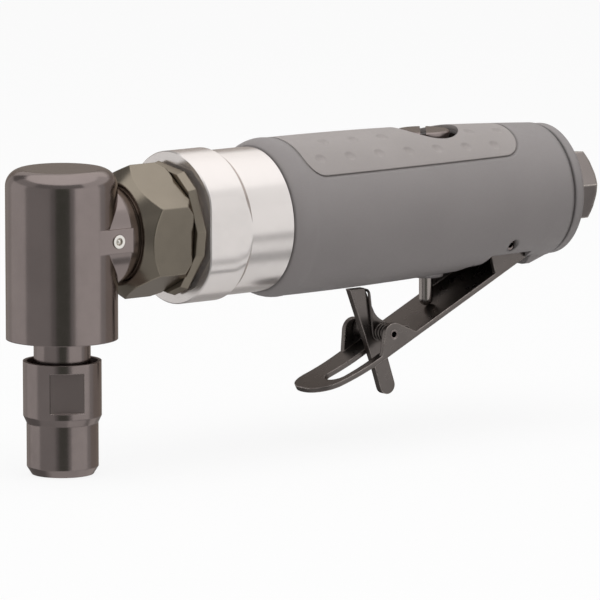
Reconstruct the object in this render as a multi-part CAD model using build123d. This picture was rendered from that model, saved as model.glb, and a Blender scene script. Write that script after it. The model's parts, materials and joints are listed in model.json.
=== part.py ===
from build123d import *
import math
import os

# Right angle die grinder driven by compressed air, as an assembly of separate pieces.
# Millimetres, +Z up. The origin is the middle of the collet's nose, on the spindle axis.
# +X runs along the handle towards the air inlet. Pieces are drawn about the point where the
# spindle axis and the motor axis cross, and are lifted onto the collet nose when written.

# Fits and clearances
FIT = 0.02               # radial clearance of a pressed or screwed seat
RUN = 0.04               # radial clearance of a shaft or pin that turns in its hole
AXIAL = 0.1              # end clearance of turning pieces
SHEET_GAP = 0.35         # clearance of pieces that pass each other without touching
QUARTER_TURN = math.pi / 2
HEX_SIDES = 6
HEX_CHAMFER_ANGLE = 30.0
GAP_STEPS = 6            # points on each arc of a spring when its gaps are measured
NEIGHBOUR_DIAMETERS = 4  # wire diameters along a spring that count as the same turn

# Angle head
HEAD_RADIUS = 14.25
HEAD_TOP = 18.1          # top of the head above the motor axis
HEAD_DROP = 25.4         # bottom of the head below the motor axis
HEAD_ROUND = 4.5
CAVITY_RADIUS = 10.6
NECK_COLLAR = 13.45      # radius of the plain collar beside the head
NECK_COLLAR_END = 12.4
NECK_TAPER = 2.9         # length of the taper behind the collar
NECK_STEP = 0.6          # the taper's end stands this far above the neck
NECK_LIP = 0.4           # step in the neck's bore that the pinion bearing stops at
NECK_RADIUS = 12.0
NECK_RIM = 1.0           # neck behind the pinion's clip
LUG_FACE = 14.1          # distance of the grease lug's face from the mid plane
LUG_HEIGHT = 6.2
LUG_START = 2.0
LUG_RISE = 0.25          # middle of the lug above the motor axis
FITTING_X = 7.8
FITTING_RADIUS = 1.75
FITTING_DEPTH = 4.0
FITTING_PROUD = 0.35
FITTING_CUP = 0.95       # radius of the cup round the fitting's ball
FITTING_CUP_DEPTH = 0.8
FITTING_BALL = 0.8

# Ball bearings: bore radius, outer radius, width
SMALL_BEARING = (4.0, 9.5, 6.0)
LARGE_BEARING = (5.0, 11.0, 6.0)
BEARING_RACE = 0.28      # share of the ring that each race takes
BEARING_SHIELD_DEPTH = 0.4
BEARING_SHOULDER = 1.2   # height of a shaft's shoulder at a bearing
UPPER_BEARING_Z = 9.9    # lower face of the upper spindle bearing
LOWER_BEARING_Z = -20.5  # lower face of the lower spindle bearing
PINION_BEARING_X = 13.0
RETAINER_RADIUS = 12.0
RETAINER_LEDGE = 2.0     # width of the retainer's face on the bearing's outer race
RETAINER_SLOPE = 1.0
RETAINER_HOLE = 0.9
RETAINER_HOLE_DEPTH = 2.0
CLIP_THICKNESS = 1.0
CLIP_PLAY = 0.6          # from the coupling clip to the adapter's thread

# Bevel gear pair, straight teeth, shaft angle 90 degrees
PINION_TEETH = 15
GEAR_TEETH = 17
GEAR_MODULE = 1.05       # at the heel
GEAR_FACE = 4.0
PRESSURE_ANGLE = 20.0
BACKLASH = 0.16
ADDENDUM = 0.95          # in modules
DEDENDUM = 1.3           # in modules
ROOT_SINK = 0.2          # how far a tooth reaches into its wheel's body
FLANK_SHARES = (0.0, 0.35, 0.7, 1.0)  # heights on a tooth's flank where its curve is set
PINION_BACK = 1.0        # bevel behind the pinion's teeth
GEAR_RIM = 0.8           # rim behind the gear's teeth
GEAR_BACK = 1.0          # slope from the rim to the hub
GEAR_HUB = 1.4           # wall of the gear's hub
GEAR_SEAT_SHARE = 0.6    # how far the spindle's seat reaches towards the gear's apex

# Spindle, collet and collet nut
SHAFT_RADIUS = 3.9
GEAR_SEAT_RADIUS = 4.4
STEM_RADIUS = 7.25
SPINDLE_THREAD_RADIUS = 7.0
SPINDLE_THREAD_RELIEF = 1.0
SHANK_DEPTH = 30.0       # how far a tool's shank can go in
SHANK_PLAY = 0.6         # radial room for the shank behind the collet
NUT_GAP = 5.6            # from the head's bottom to the collet nut
COLLET_NUT_LENGTH = 29.0
COLLET_NUT_RADIUS = 10.0
COLLET_NUT_BODY = 14.0   # length of the wide upper part
COLLET_NUT_NECK = 9.15   # radius of the lower part
COLLET_NUT_STEP = 1.8
COLLET_NUT_NOSE = 7.9
COLLET_NUT_NOSE_LENGTH = 2.0
COLLET_NUT_RECESS = 9.1
COLLET_NUT_MOUTH_FLOOR = 0.4  # from the mouth's floor down to the wrench flats
COLLET_NUT_RELIEF = 8.0  # radius of the relief between mouth and thread
COLLET_NUT_RECESS_DEPTH = 4.2
COLLET_NUT_SHOULDER = 1.0
COLLET_NUT_FLATS = 17.9  # across the two wrench flats
COLLET_FLAT_TOP = 2.2
COLLET_FLAT_HEIGHT = 10.2
COLLET_FLAT_ANGLE = -117.0
COLLET_BORE = 3.2        # radius, for a 1/4 inch shank
COLLET_LENGTH = 22.0
COLLET_NOSE_RADIUS = 4.9
COLLET_SHOULDER = 6.0
COLLET_TAIL_STEP = 0.7   # from the shoulder in to the wide end of the rear taper
COLLET_TAIL = 4.3
COLLET_CONE = 7.0        # length of the front cone
COLLET_BAND = 4.0        # length of the plain band behind the cone
COLLET_SLITS = 4
COLLET_SLIT = 0.7
COLLET_SLIT_LENGTH = 18.0

# Coupling between head and motor
COUPLING_GAP = 1.0
COUPLING_LENGTH = 13.9
COUPLING_FLATS = 30.2
COUPLING_NOSE_RADIUS = 13.3
COUPLING_REAR_CHAMFER = 2.0
COUPLING_LIP = 2.7
COUPLING_CLOCK = 34.0    # turn of the nut's corners about the motor axis
JAM_GAP = 0.8
JAM_LENGTH = 1.7
JAM_FLATS = 32.6
JAM_CORNERS = 34.0
JAM_CLOCK = 7.8
THREAD_RADIUS = 14.0     # nose thread of the front adapter

# Front adapter and motor housing. Their radii grow outwards from the motor's bore
HOUSING_BORE = 15.0
HOUSING_WALL = 2.0
RING_STEP = 1.7          # the ring in front of the grip stands this far above the housing's tube
RING_LENGTH = 11.5
COLLAR_STEP = 0.95       # the adapter's collar stands this far above that ring
COLLAR_LENGTH = 11.9
COLLAR_CHAMFER = 2.0
COLLAR_EDGE = 0.5
COLLAR_FLAT = 2.0        # depth of the collar's two wrench flats
ADAPTER_GAP = 1.2
ADAPTER_BORE = 11.5
SPIGOT_LENGTH = 5.2

# Vane motor
PLATE = 7.0
PLATE_WEB = 1.0
CYLINDER_LENGTH = 37.0
CYLINDER_WALL = 2.5
CYLINDER_OFFSET = 1.0    # how far the bore sits above the motor axis
PORT_LENGTH = 14.0
ROTOR_GAP = 1.5          # from the rotor to the cylinder's bore, if they were on one axis
ROTOR_NOSE = 1.0         # the rotor's journal in front of the front plate
VANES = 5
VANE = 2.0
VANE_REACH = 0.2         # how far a drawn-in vane stands out of the rotor
VANE_ROOT = 5.5
VANE_PLAY = 0.05
DOWEL_RADIUS = 1.0
DOWEL_INSET = 1.25
DOWEL_SHORT = 1.0        # the dowel ends this far inside the plates
DRIVE_FLATS = 6.4
DRIVE_LENGTH = 7.0
COUPLER_RADIUS = 6.5

# Grip sleeve and its inlaid panel
GRIP_GAP = 0.5           # groove between the housing's ring and the grip
GRIP_STEP = 0.2          # the grip's front edge stands this far above the housing's ring
GRIP_SWELL = 1.55        # rise of the grip from its front edge to its shoulder
GRIP_LIP_LENGTH = 6.2    # from the front edge to the shoulder
GRIP_LIP_SHARE = (0.3, 0.73)  # a point of the lip's curve, as shares of its length and rise
GRIP_MIDDLE_DROP = 0.65
GRIP_REAR_DROP = 2.9
GRIP_BEHIND = 17.8       # grip behind the lever's hinge
KEEL_DEPTH = 1.1         # the keel hangs this far below the grip's rear radius
KEEL_WIDTH = 15.0
KEEL_ROUND = 3.0
KEEL_SLOPE = 5.5         # length of the keel's rising rear end
KEEL_RISE = 1.9
NOTCH_AHEAD = 5.4        # notch across the grip's underside, in front of the hinge pin
NOTCH_BEHIND = 8.4
NOTCH_DEPTH = 3.25       # from the grip's rear radius up to the notch's roof
NOTCH_ROUND = 3.7        # rounding of the notch's front edge
PANEL_INSET = 1.0        # from the grip's shoulder back to the panel
PANEL_REAR_INSET = 12.8
PANEL_HEIGHT = 8.45      # from the grip's widest level down to the panel's lower edge
PANEL_FRONT_ROUND = 4.5
PANEL_REAR_ROUND = 7.0
PANEL_DEPTH = 1.2
PANEL_GROOVE = 0.35
DIMPLE_SPHERE = 3.0
DIMPLE_DEPTH = 0.45
DIMPLE_PITCH = 9.5
DIMPLE_MARGIN = 2.0
DIMPLE_COUNT = 7
DIMPLE_LOW_START = 5.1   # from the panel's front edge
DIMPLE_LOW_ANGLE = 51.4  # above the horizontal
DIMPLE_HIGH_START = 10.3
DIMPLE_HIGH_ANGLE = 70.6

# Throttle valve and, on an upright axis just in front of it, the air regulator
VALVE_INSET = 11.5       # from the motor's rear plate back to the valve's axis
VALVE_BORE = 4.5
BUSHING_GAP = 2.5        # from the valve's seat down to the plunger's bushing
BUSHING_PROUD = 0.3
PLUNGER_RADIUS = 1.8
PLUNGER_RISE = 0.5       # the plunger's top above its bushing
SEAT_DROP = 1.5          # from the airway down to the seat
SEAT_HEIGHT = 2.0
SEAT_HOLE = 2.3
VALVE_RADIUS = 3.6
VALVE_DISC = 2.0
VALVE_STEM = 1.0
VALVE_PIN = 1.4
VALVE_PIN_LENGTH = 2.0
REGULATOR_AHEAD = 0.95   # from the valve's axis forward to the regulator's
REGULATOR_RADIUS = 7.0
REGULATOR_SUNK = 1.1     # the regulator's top below the grip's middle radius
REGULATOR_RISE = 1.0     # from the airway up to the regulator's lower end
REGULATOR_NECK_PLAY = 0.1
REGULATOR_EDGE = 0.4
REGULATOR_SLOT = 1.5
REGULATOR_SLOT_DEPTH = 2.2
REGULATOR_SLOT_ANGLE = 53.7
RECESS_RADIUS = 9.1
RECESS_DEPTH = 3.0       # depth of the regulator's recess in the housing
SPRING_WIRE = 0.35
SPRING_RADIUS = 2.6
SPRING_TURNS = 6

# Rear end: air inlet, exhaust
REAR_STEP = 2.4          # from the housing's tube in to its rear spigot
REAR_SPIGOT = 1.6
REAR_GROOVE = 0.8
DEFLECTOR_STEP = 0.4     # from the grip's rear edge in to the deflector
DEFLECTOR_LENGTH = 3.2
DEFLECTOR_WALL = 1.6
DEFLECTOR_EDGE = 0.6
DEFLECTOR_HOLES = 9
DEFLECTOR_HOLE = 1.15
DEFLECTOR_HOLE_ORBIT = 12.0
DEFLECTOR_HOLE_STEP = 15.0
INLET_NECK = 7.5
INLET_THREAD = 7.0
INLET_THREAD_LENGTH = 14.4
INLET_HEX_FLATS = 17.46
INLET_HEX_LENGTH = 10.1
INLET_HEX_CHAMFER = 1.2
INLET_CLOCK = -7.0
INLET_BORE = 5.7         # radius of the 1/4 inch pipe thread's hole
INLET_BORE_DEPTH = 14.0
INLET_PASSAGE = 4.0
AIRWAY_RADIUS = 5.0
FEED_RADIUS = 4.0
EXHAUST_RADIUS = 2.2
EXHAUST_Y = 10.5
EXHAUST_Z = 4.0
MUFFLER_INNER = 8.6
MUFFLER_WALL = 1.0       # housing left round the muffler
MUFFLER_LENGTH = 5.0
SCREEN_LENGTH = 8.0
SCREEN_WALL = 0.4
SCREEN_SLOTS = 6
SCREEN_SLOT = 0.8
SCREEN_SLOT_LENGTH = 4.8

# Throttle lever. Its own frame has the hinge pin as origin, +x forward along the web, +y up
LEVER_PIN_BEHIND = 17.5  # from the valve's axis back to the hinge pin
LEVER_PIN_DEPTH = 5.95   # from the grip's rear radius up to the hinge pin
LEVER_SLOPE = 26.4
LEVER_PIN_RADIUS = 1.5
LEVER_PIN_BORE = 0.85
LEVER_PIN_SLIT = 0.8
LEVER_PIN_SUNK = 1.4     # the pin's ends inside the grip's surface
LEVER_SHEET = 1.3
LEVER_WIDTH = 16.5
LEVER_WEB = 6.85         # top of the web below the hinge pin
LEVER_TAIL = 6.5         # web behind the hinge pin
LEVER_BEND = 46.5        # where the spoon starts
LEVER_SPOON_RADIUS = 90.0
LEVER_SPOON_ANGLE = 13.1
LEVER_TAPER_START = 48.0
LEVER_TIP_WIDTH = 14.9
LEVER_TIP_ROUND = 7.3
LEVER_EAR_ROUND = 3.1
LEVER_EAR_FRONT = 4.4
LOCK_PIN_AT = (39.8, -3.8)
LOCK_EAR_ROUND = 3.0
LOCK_EAR_BASE = (33.3, 45.6)
LOCK_EAR_AHEAD = 1.4     # the far ear's round stands this far in front of the pin
LOCK_EAR_FAR_ROUND = 3.4
LOCK_SLOT = (32.0, 60.2)
LOCK_SLOT_NEAR = 5.8     # from the mid plane to the slot's near edge
GUSSET_FRONT = 18.5
GUSSET_SLOPE = 2.2       # from the gusset's lower front corner back to its upper one
GUSSET_TOP = -3.2
POCKET_AHEAD = 11.4      # pocket in front of the hinge pin
POCKET_BEHIND = 10.4
POCKET_RISE = 3.6        # pocket above the hinge pin
POCKET_ROUND = 2.6       # rounding of the pocket's front corners

# Lock-off lever. Its outline is measured from the lock pin, in the part's directions
LOCK_PIN_RADIUS = 1.15
LOCK_PIN_BORE = 0.8
LOCK_SHEET = 2.0
LOCK_ASIDE = 0.5         # the blade's middle towards the near side
LOCK_TOP = 11.75
LOCK_TOP_FRONT = -9.2
LOCK_TOP_REAR = -4.6
LOCK_HUB = 3.0
LOCK_BARREL = 2.45
LOCK_NECK_START = (-1.4, 5.1)
LOCK_NECK_MIDDLE = (0.2, 3.4)
LOCK_NECK_END = (2.2, 2.4)
LOCK_TAB_FRONT = (-0.95, -10.0)
LOCK_TAB_REAR = (2.9, -7.1)
LOCK_TAB_END = (2.9, -14.5)
LOCK_TAB_ROUND = 2.3
LOCK_WIRE = 0.36
LOCK_COIL = 2.2
LOCK_COIL_TURNS = 3
LOCK_COIL_PITCH = 1.25
LOCK_LEG = 10.4          # straight length of the leg on the blade
LOCK_LEG_LEAN = 7.0
LOCK_LEG_GAP = 0.15
LOCK_HOOK = 1.0
LOCK_FOOT = 5.0          # straight length of the leg on the web

# Radii and heights that follow from the sizes above
NOSE_Z = -(HEAD_DROP + NUT_GAP + COLLET_NUT_LENGTH)
COLLET_TOP_Z = NOSE_Z + COLLET_LENGTH
COLLET_NUT_TOP = NOSE_Z + COLLET_NUT_LENGTH
SPINDLE_END = NOSE_Z + COLLET_CONE + COLLET_BAND
COUPLING_CORNER = COUPLING_FLATS / 2 / math.cos(math.pi / HEX_SIDES)
HOUSING_TUBE = HOUSING_BORE + HOUSING_WALL
HOUSING_RING = HOUSING_TUBE + RING_STEP
COLLAR_RADIUS = HOUSING_RING + COLLAR_STEP
CYLINDER_BORE = HOUSING_BORE - CYLINDER_WALL
ROTOR_RADIUS = CYLINDER_BORE - ROTOR_GAP
VANE_TIP = ROTOR_RADIUS + VANE_REACH
DOWEL_ORBIT = HOUSING_BORE - DOWEL_INSET
GRIP_FRONT_RADIUS = HOUSING_RING + GRIP_STEP
GRIP_RADIUS = GRIP_FRONT_RADIUS + GRIP_SWELL
GRIP_MIDDLE_RADIUS = GRIP_RADIUS - GRIP_MIDDLE_DROP
GRIP_REAR_RADIUS = GRIP_RADIUS - GRIP_REAR_DROP
KEEL_DROP = GRIP_REAR_RADIUS + KEEL_DEPTH
PANEL_LOW = GRIP_RADIUS - PANEL_HEIGHT
SEAT_TOP = -AIRWAY_RADIUS - SEAT_DROP
BUSHING_TOP = SEAT_TOP - SEAT_HEIGHT - BUSHING_GAP
PLUNGER_TOP = BUSHING_TOP + PLUNGER_RISE
REGULATOR_TOP = GRIP_MIDDLE_RADIUS - REGULATOR_SUNK
REGULATOR_BOTTOM = AIRWAY_RADIUS + REGULATOR_RISE
RECESS_FLOOR = HOUSING_TUBE - RECESS_DEPTH
NOTCH_ROOF = NOTCH_DEPTH - GRIP_REAR_RADIUS
REAR_SPIGOT_RADIUS = HOUSING_TUBE - REAR_STEP
MUFFLER_OUTER = REAR_SPIGOT_RADIUS - MUFFLER_WALL
DEFLECTOR_RADIUS = GRIP_REAR_RADIUS - DEFLECTOR_STEP
LEVER_PIN_Z = LEVER_PIN_DEPTH - GRIP_REAR_RADIUS
LEVER_HALF = LEVER_WIDTH / 2
LOCK_NEAR_FACE = -LOCK_ASIDE - LOCK_SHEET / 2
LOCK_FAR_FACE = LOCK_NEAR_FACE + LOCK_SHEET
POCKET_TOP = LEVER_PIN_Z + POCKET_RISE

# Places along the motor axis, front to rear
NECK_END = PINION_BEARING_X + SMALL_BEARING[2] + CLIP_THICKNESS + NECK_RIM
NECK_TAPER_END = NECK_COLLAR_END + NECK_TAPER
COUPLING_FRONT = NECK_TAPER_END + COUPLING_GAP
COUPLING_REAR = COUPLING_FRONT + COUPLING_LENGTH
JAM_FRONT = COUPLING_REAR + JAM_GAP
ADAPTER_FACE = JAM_FRONT + JAM_LENGTH + ADAPTER_GAP
HOUSING_FRONT = ADAPTER_FACE + COLLAR_LENGTH + COLLAR_CHAMFER
PLATE_FRONT = HOUSING_FRONT + SPIGOT_LENGTH
CYLINDER_FRONT = PLATE_FRONT + PLATE
CYLINDER_REAR = CYLINDER_FRONT + CYLINDER_LENGTH
MOTOR_REAR = CYLINDER_REAR + PLATE
VALVE_X = MOTOR_REAR + VALVE_INSET
REGULATOR_X = VALVE_X - REGULATOR_AHEAD
LEVER_PIN_X = VALVE_X + LEVER_PIN_BEHIND
RING_REAR = HOUSING_FRONT + RING_LENGTH
GRIP_FRONT = RING_REAR + GRIP_GAP
GRIP_SHOULDER = GRIP_FRONT + GRIP_LIP_LENGTH
GRIP_REAR = LEVER_PIN_X + GRIP_BEHIND
PANEL_FRONT = GRIP_SHOULDER + PANEL_INSET
PANEL_REAR = GRIP_REAR - PANEL_REAR_INSET
POCKET_FRONT = LEVER_PIN_X - POCKET_AHEAD
POCKET_REAR = LEVER_PIN_X + POCKET_BEHIND
REAR_SPIGOT_END = GRIP_REAR + REAR_SPIGOT
DEFLECTOR_FRONT = GRIP_REAR + REAR_GROOVE
DEFLECTOR_REAR = DEFLECTOR_FRONT + DEFLECTOR_LENGTH
INLET_REAR = DEFLECTOR_REAR + AXIAL + INLET_HEX_LENGTH
LEVER_FRAME = Plane(
    origin=(LEVER_PIN_X, 0, LEVER_PIN_Z),
    x_dir=(-math.cos(math.radians(LEVER_SLOPE)), 0, -math.sin(math.radians(LEVER_SLOPE))),
    z_dir=(0, 1, 0),
)


def lever_point(along, up, across=0.0):
    """A point of the lever's own frame, in the part's directions."""
    return LEVER_FRAME.from_local_coords(Vector(along, up, across))


LOCK_PIN = lever_point(*LOCK_PIN_AT)


def rod_x(radius, start, end, y=0.0, z=0.0):
    return Pos((start + end) / 2, y, z) * Rot(0, 90, 0) * Cylinder(radius, end - start)


def rod_y(radius, start, end, x=0.0, z=0.0):
    return Pos(x, (start + end) / 2, z) * Rot(90, 0, 0) * Cylinder(radius, end - start)


def rod_z(radius, start, end, x=0.0, y=0.0):
    return Pos(x, y, (start + end) / 2) * Cylinder(radius, end - start)


def turned_x(*outline):
    """A turned piece on the motor axis, from (x, radius) points."""
    return revolve(make_face(Polyline(*outline, close=True)), Axis.X)


def turned_z(*outline):
    """A turned piece on the spindle axis, from (radius, z) points."""
    return revolve(Plane.XZ * make_face(Polyline(*outline, close=True)), Axis.Z)


def prism_x(sketch, start, end):
    """A sketch drawn looking along the motor axis, run from start to end."""
    return extrude(Plane.YZ.offset(start) * sketch, amount=end - start)


def slab_y(sketch, start, end):
    """A sketch drawn in the side view (X, Z), run across from start to end."""
    return extrude(Plane.XZ.offset(-end) * sketch, amount=end - start)


def lever_slab(sketch, start, end):
    """A sketch drawn in the lever's own frame, run across from start to end."""
    return extrude(LEVER_FRAME.offset(start) * sketch, amount=end - start)


def outline(*points):
    return make_face(Polyline(*points, close=True))


def biarc(start, start_way, end, end_way):
    """Two arcs that join smoothly and leave and arrive in the given directions."""
    chord = end - start
    along = chord.dot(start_way + end_way)
    bend = 2 * (1 - start_way.dot(end_way))
    reach = (math.sqrt(along ** 2 + bend * chord.dot(chord)) - along) / bend
    knee_start = start + start_way * reach
    knee_end = end - end_way * reach
    middle = (knee_start + knee_end) / 2
    middle_way = (knee_end - knee_start).normalized()
    first = Edge.make_tangent_arc(start, start_way, middle)
    second = Edge.make_tangent_arc(middle, middle_way, end)
    return [first, second]


def helix_edges(radius, pitch, first_angle, sweep_angle):
    """A helix about Z as smooth arcs of about a quarter turn each, level at both ends."""
    count = round(sweep_angle / QUARTER_TURN)
    rise = pitch / (2 * math.pi)
    stations = []
    for step in range(count + 1):
        turned = sweep_angle * step / count
        angle = first_angle + turned
        climb = rise if 0 < step < count else 0.0
        point = Vector(radius * math.cos(angle), radius * math.sin(angle), rise * turned)
        way = Vector(-radius * math.sin(angle), radius * math.cos(angle), climb).normalized()
        stations.append((point, way))
    edges = []
    for (start, start_way), (end, end_way) in zip(stations, stations[1:]):
        edges += biarc(start, start_way, end, end_way)
    return edges


def straight(start, way, length):
    return Edge.make_line(start, start + way * length)


def wire_tube(edges, wire):
    """A round wire of the given radius along joined edges."""
    path = Wire(edges)
    section = Plane(origin=path @ 0, z_dir=path % 0) * Circle(wire)
    return sweep(section, path=path)


def least_gap(edges, wire):
    """Least clear space between parts of a wire that lie well apart along it, from points on it."""
    points = []
    travelled = 0.0
    for edge in edges:
        for step in range(GAP_STEPS):
            share = step / GAP_STEPS
            points.append((travelled + edge.length * share, edge @ share))
        travelled += edge.length
    apart = NEIGHBOUR_DIAMETERS * 2 * wire
    gaps = [
        (here - there).length - 2 * wire
        for index, (at, here) in enumerate(points)
        for other, there in points[index + 1:]
        if other - at > apart
    ]
    return round(min(gaps), 2)


# Angle head and its bearings

def angle_head():
    body = turned_z((0, -HEAD_DROP), (HEAD_RADIUS, -HEAD_DROP), (HEAD_RADIUS, HEAD_TOP), (0, HEAD_TOP))
    body = fillet(body.edges().group_by(Axis.Z)[-1], HEAD_ROUND)
    body += turned_x(
        (0, 0), (0, NECK_COLLAR), (NECK_COLLAR_END, NECK_COLLAR), (NECK_TAPER_END, NECK_RADIUS + NECK_STEP),
        (NECK_TAPER_END, NECK_RADIUS), (NECK_END, NECK_RADIUS), (NECK_END, 0),
    )
    lug_length = NECK_COLLAR_END - LUG_START
    grease_lug = Pos(LUG_START + lug_length / 2, LUG_RISE) * Rectangle(lug_length, LUG_HEIGHT)
    body += slab_y(grease_lug, -LUG_FACE, -HEAD_RADIUS / 2)
    lower_top = LOWER_BEARING_Z + LARGE_BEARING[2]
    upper_top = UPPER_BEARING_Z + SMALL_BEARING[2]
    hollow = turned_z(
        (0, -HEAD_DROP), (RETAINER_RADIUS, -HEAD_DROP), (RETAINER_RADIUS, LOWER_BEARING_Z),
        (LARGE_BEARING[1], LOWER_BEARING_Z), (LARGE_BEARING[1], lower_top), (CAVITY_RADIUS, lower_top),
        (CAVITY_RADIUS, UPPER_BEARING_Z), (SMALL_BEARING[1], UPPER_BEARING_Z), (SMALL_BEARING[1], upper_top),
        (0, upper_top),
    )
    clip_front = PINION_BEARING_X + SMALL_BEARING[2]
    hollow += rod_x(SMALL_BEARING[1] - NECK_LIP, 0, NECK_END)
    hollow += rod_x(SMALL_BEARING[1], PINION_BEARING_X, NECK_END)
    hollow += rod_x(SMALL_BEARING[1] + CLIP_THICKNESS / 2, clip_front, clip_front + CLIP_THICKNESS)
    groove = rod_x(NECK_RADIUS + CLIP_THICKNESS, clip_start(), clip_start() + CLIP_THICKNESS)
    groove -= rod_x(NECK_RADIUS - CLIP_THICKNESS / 2, clip_start(), clip_start() + CLIP_THICKNESS)
    well = rod_y(FITTING_RADIUS, -LUG_FACE, -LUG_FACE + FITTING_DEPTH, FITTING_X, LUG_RISE)
    return body - hollow - groove - well


def clip_start():
    return COUPLING_FRONT + COUPLING_LIP


def grease_fitting():
    face = -LUG_FACE - FITTING_PROUD
    body = rod_y(FITTING_RADIUS - FIT, face, -LUG_FACE + FITTING_DEPTH, FITTING_X, LUG_RISE)
    body -= rod_y(FITTING_CUP, face, face + FITTING_CUP_DEPTH, FITTING_X, LUG_RISE)
    return body + Pos(FITTING_X, face + FITTING_CUP_DEPTH, LUG_RISE) * Sphere(FITTING_BALL)


def ball_bearing(sizes):
    """A shielded ball bearing as one ring about Z, standing on z = 0."""
    bore, outer, width = sizes
    race = (outer - bore) * BEARING_RACE
    inner_race = bore + race
    outer_race = outer - race
    sunk = BEARING_SHIELD_DEPTH
    return turned_z(
        (bore, 0), (inner_race, 0), (inner_race, sunk), (outer_race, sunk), (outer_race, 0),
        (outer - FIT, 0), (outer - FIT, width), (outer_race, width), (outer_race, width - sunk),
        (inner_race, width - sunk), (inner_race, width), (bore, width),
    )


def bearing_on_z(sizes, base):
    return Pos(0, 0, base) * ball_bearing(sizes)


def bearing_on_x(sizes, start):
    return Pos(start, 0, 0) * Rot(0, 90, 0) * ball_bearing(sizes)


def bearing_retainer():
    ring = turned_z(
        (STEM_RADIUS + SHEET_GAP, -HEAD_DROP + SHEET_GAP), (RETAINER_RADIUS - FIT, -HEAD_DROP + SHEET_GAP),
        (RETAINER_RADIUS - FIT, LOWER_BEARING_Z), (LARGE_BEARING[1] - RETAINER_LEDGE, LOWER_BEARING_Z),
        (STEM_RADIUS + SHEET_GAP, LOWER_BEARING_Z - RETAINER_SLOPE),
    )
    orbit = (STEM_RADIUS + RETAINER_RADIUS) / 2
    for side in (-1, 1):
        ring -= rod_z(RETAINER_HOLE, -HEAD_DROP, -HEAD_DROP + RETAINER_HOLE_DEPTH, y=side * orbit)
    return ring


def snap_ring(inner, outer, start):
    """An open spring ring about the motor axis, with its gap at the bottom."""
    ring = rod_x(outer, start, start + CLIP_THICKNESS) - rod_x(inner, start, start + CLIP_THICKNESS)
    gap = Pos(start + CLIP_THICKNESS / 2, 0, -outer) * Box(2 * CLIP_THICKNESS, inner / 2, outer)
    return ring - gap


def pinion_clip():
    seat = PINION_BEARING_X + SMALL_BEARING[2]
    outer = SMALL_BEARING[1] + CLIP_THICKNESS / 2 - FIT
    return snap_ring(SMALL_BEARING[1] - 2 * CLIP_THICKNESS, outer, seat)


def coupling_clip():
    inner = NECK_RADIUS - CLIP_THICKNESS / 2 + FIT
    return snap_ring(inner, THREAD_RADIUS - CLIP_PLAY, clip_start())


# Bevel gears

def cone_angle(teeth, mate):
    return math.atan2(teeth, mate)


def cone_length():
    return GEAR_MODULE / 2 * math.hypot(PINION_TEETH, GEAR_TEETH)


def involute(angle):
    return math.tan(angle) - angle


def tooth_half_angle(radius, pitch_radius, teeth_on_back_cone):
    """Half of the tooth's angle at a radius of the unrolled back cone."""
    pressure = math.radians(PRESSURE_ANGLE)
    base = pitch_radius * math.cos(pressure)
    here = math.acos(min(1.0, base / radius))
    half = math.pi / (2 * teeth_on_back_cone) - BACKLASH / (4 * pitch_radius)
    return half + involute(pressure) - involute(here)


def tooth(teeth, mate):
    """One straight bevel tooth about +X, apex at the origin, pointing along +Z."""
    cone = cone_angle(teeth, mate)
    pitch_radius = GEAR_MODULE * teeth / 2
    back_radius = pitch_radius / math.cos(cone)
    back_teeth = teeth / math.cos(cone)
    low = back_radius - DEDENDUM * GEAR_MODULE
    high = back_radius + ADDENDUM * GEAR_MODULE
    flank = []
    for share in FLANK_SHARES:
        radius = low + (high - low) * share
        flank.append((radius, tooth_half_angle(radius, back_radius, back_teeth)))
    flank.insert(0, (low - ROOT_SINK, flank[0][1]))
    along = Vector(math.cos(cone), 0, math.sin(cone))
    out = Vector(-math.sin(cone), 0, math.cos(cone))
    heel = along * cone_length()

    def place(radius, half):
        rise = radius * math.cos(half) - back_radius
        return heel + out * rise + Vector(0, 1, 0) * (radius * math.sin(half))

    ring = [place(radius, half) for radius, half in flank]
    ring += [place(radius, -half) for radius, half in reversed(flank)]
    toe_share = (cone_length() - GEAR_FACE) / cone_length()
    heel_wire = Wire.make_polygon(ring, close=True)
    toe_wire = Wire.make_polygon([point * toe_share for point in ring], close=True)
    return Solid.make_loft([heel_wire, toe_wire], ruled=True)


def root_point(teeth, mate, share):
    """(along the axis, radius) of the wheel's root, at a share of the cone's length."""
    cone = cone_angle(teeth, mate)
    depth = DEDENDUM * GEAR_MODULE
    along = cone_length() * math.cos(cone) + depth * math.sin(cone)
    radius = cone_length() * math.sin(cone) - depth * math.cos(cone)
    return along * share, radius * share


def bevel_wheel(teeth, mate, turn, *rear):
    """A bevel wheel about +X; rear lists the (x, radius) points behind the teeth."""
    toe_share = (cone_length() - GEAR_FACE) / cone_length()
    toe = root_point(teeth, mate, toe_share)
    heel = root_point(teeth, mate, 1.0)
    body = turned_x((toe[0], 0), toe, heel, *rear)
    one = tooth(teeth, mate)
    ring = [one.rotate(Axis.X, turn + 360 / teeth * count) for count in range(teeth)]
    return body.fuse(*ring)


def bevel_pinion():
    heel = root_point(PINION_TEETH, GEAR_TEETH, 1.0)
    journal = SMALL_BEARING[0] - RUN
    bearing_front = PINION_BEARING_X - AXIAL
    bearing_rear = PINION_BEARING_X + SMALL_BEARING[2] + CLIP_THICKNESS
    shaft_end = drive_middle() - DRIVE_LENGTH
    wheel = bevel_wheel(
        PINION_TEETH, GEAR_TEETH, 180,
        (heel[0] + PINION_BACK, heel[1] - PINION_BACK), (bearing_front, SMALL_BEARING[0] + BEARING_SHOULDER),
        (bearing_front, journal), (bearing_rear, journal), (bearing_rear, SHAFT_RADIUS - AXIAL),
        (shaft_end, SHAFT_RADIUS - AXIAL), (shaft_end, 0),
    )
    return wheel + hex_rod(DRIVE_FLATS, shaft_end, drive_middle() - AXIAL)


def drive_middle():
    """Where the pinion's shaft and the rotor's shaft meet inside the drive coupling."""
    return PLATE_FRONT - ROTOR_NOSE - DRIVE_LENGTH


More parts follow.
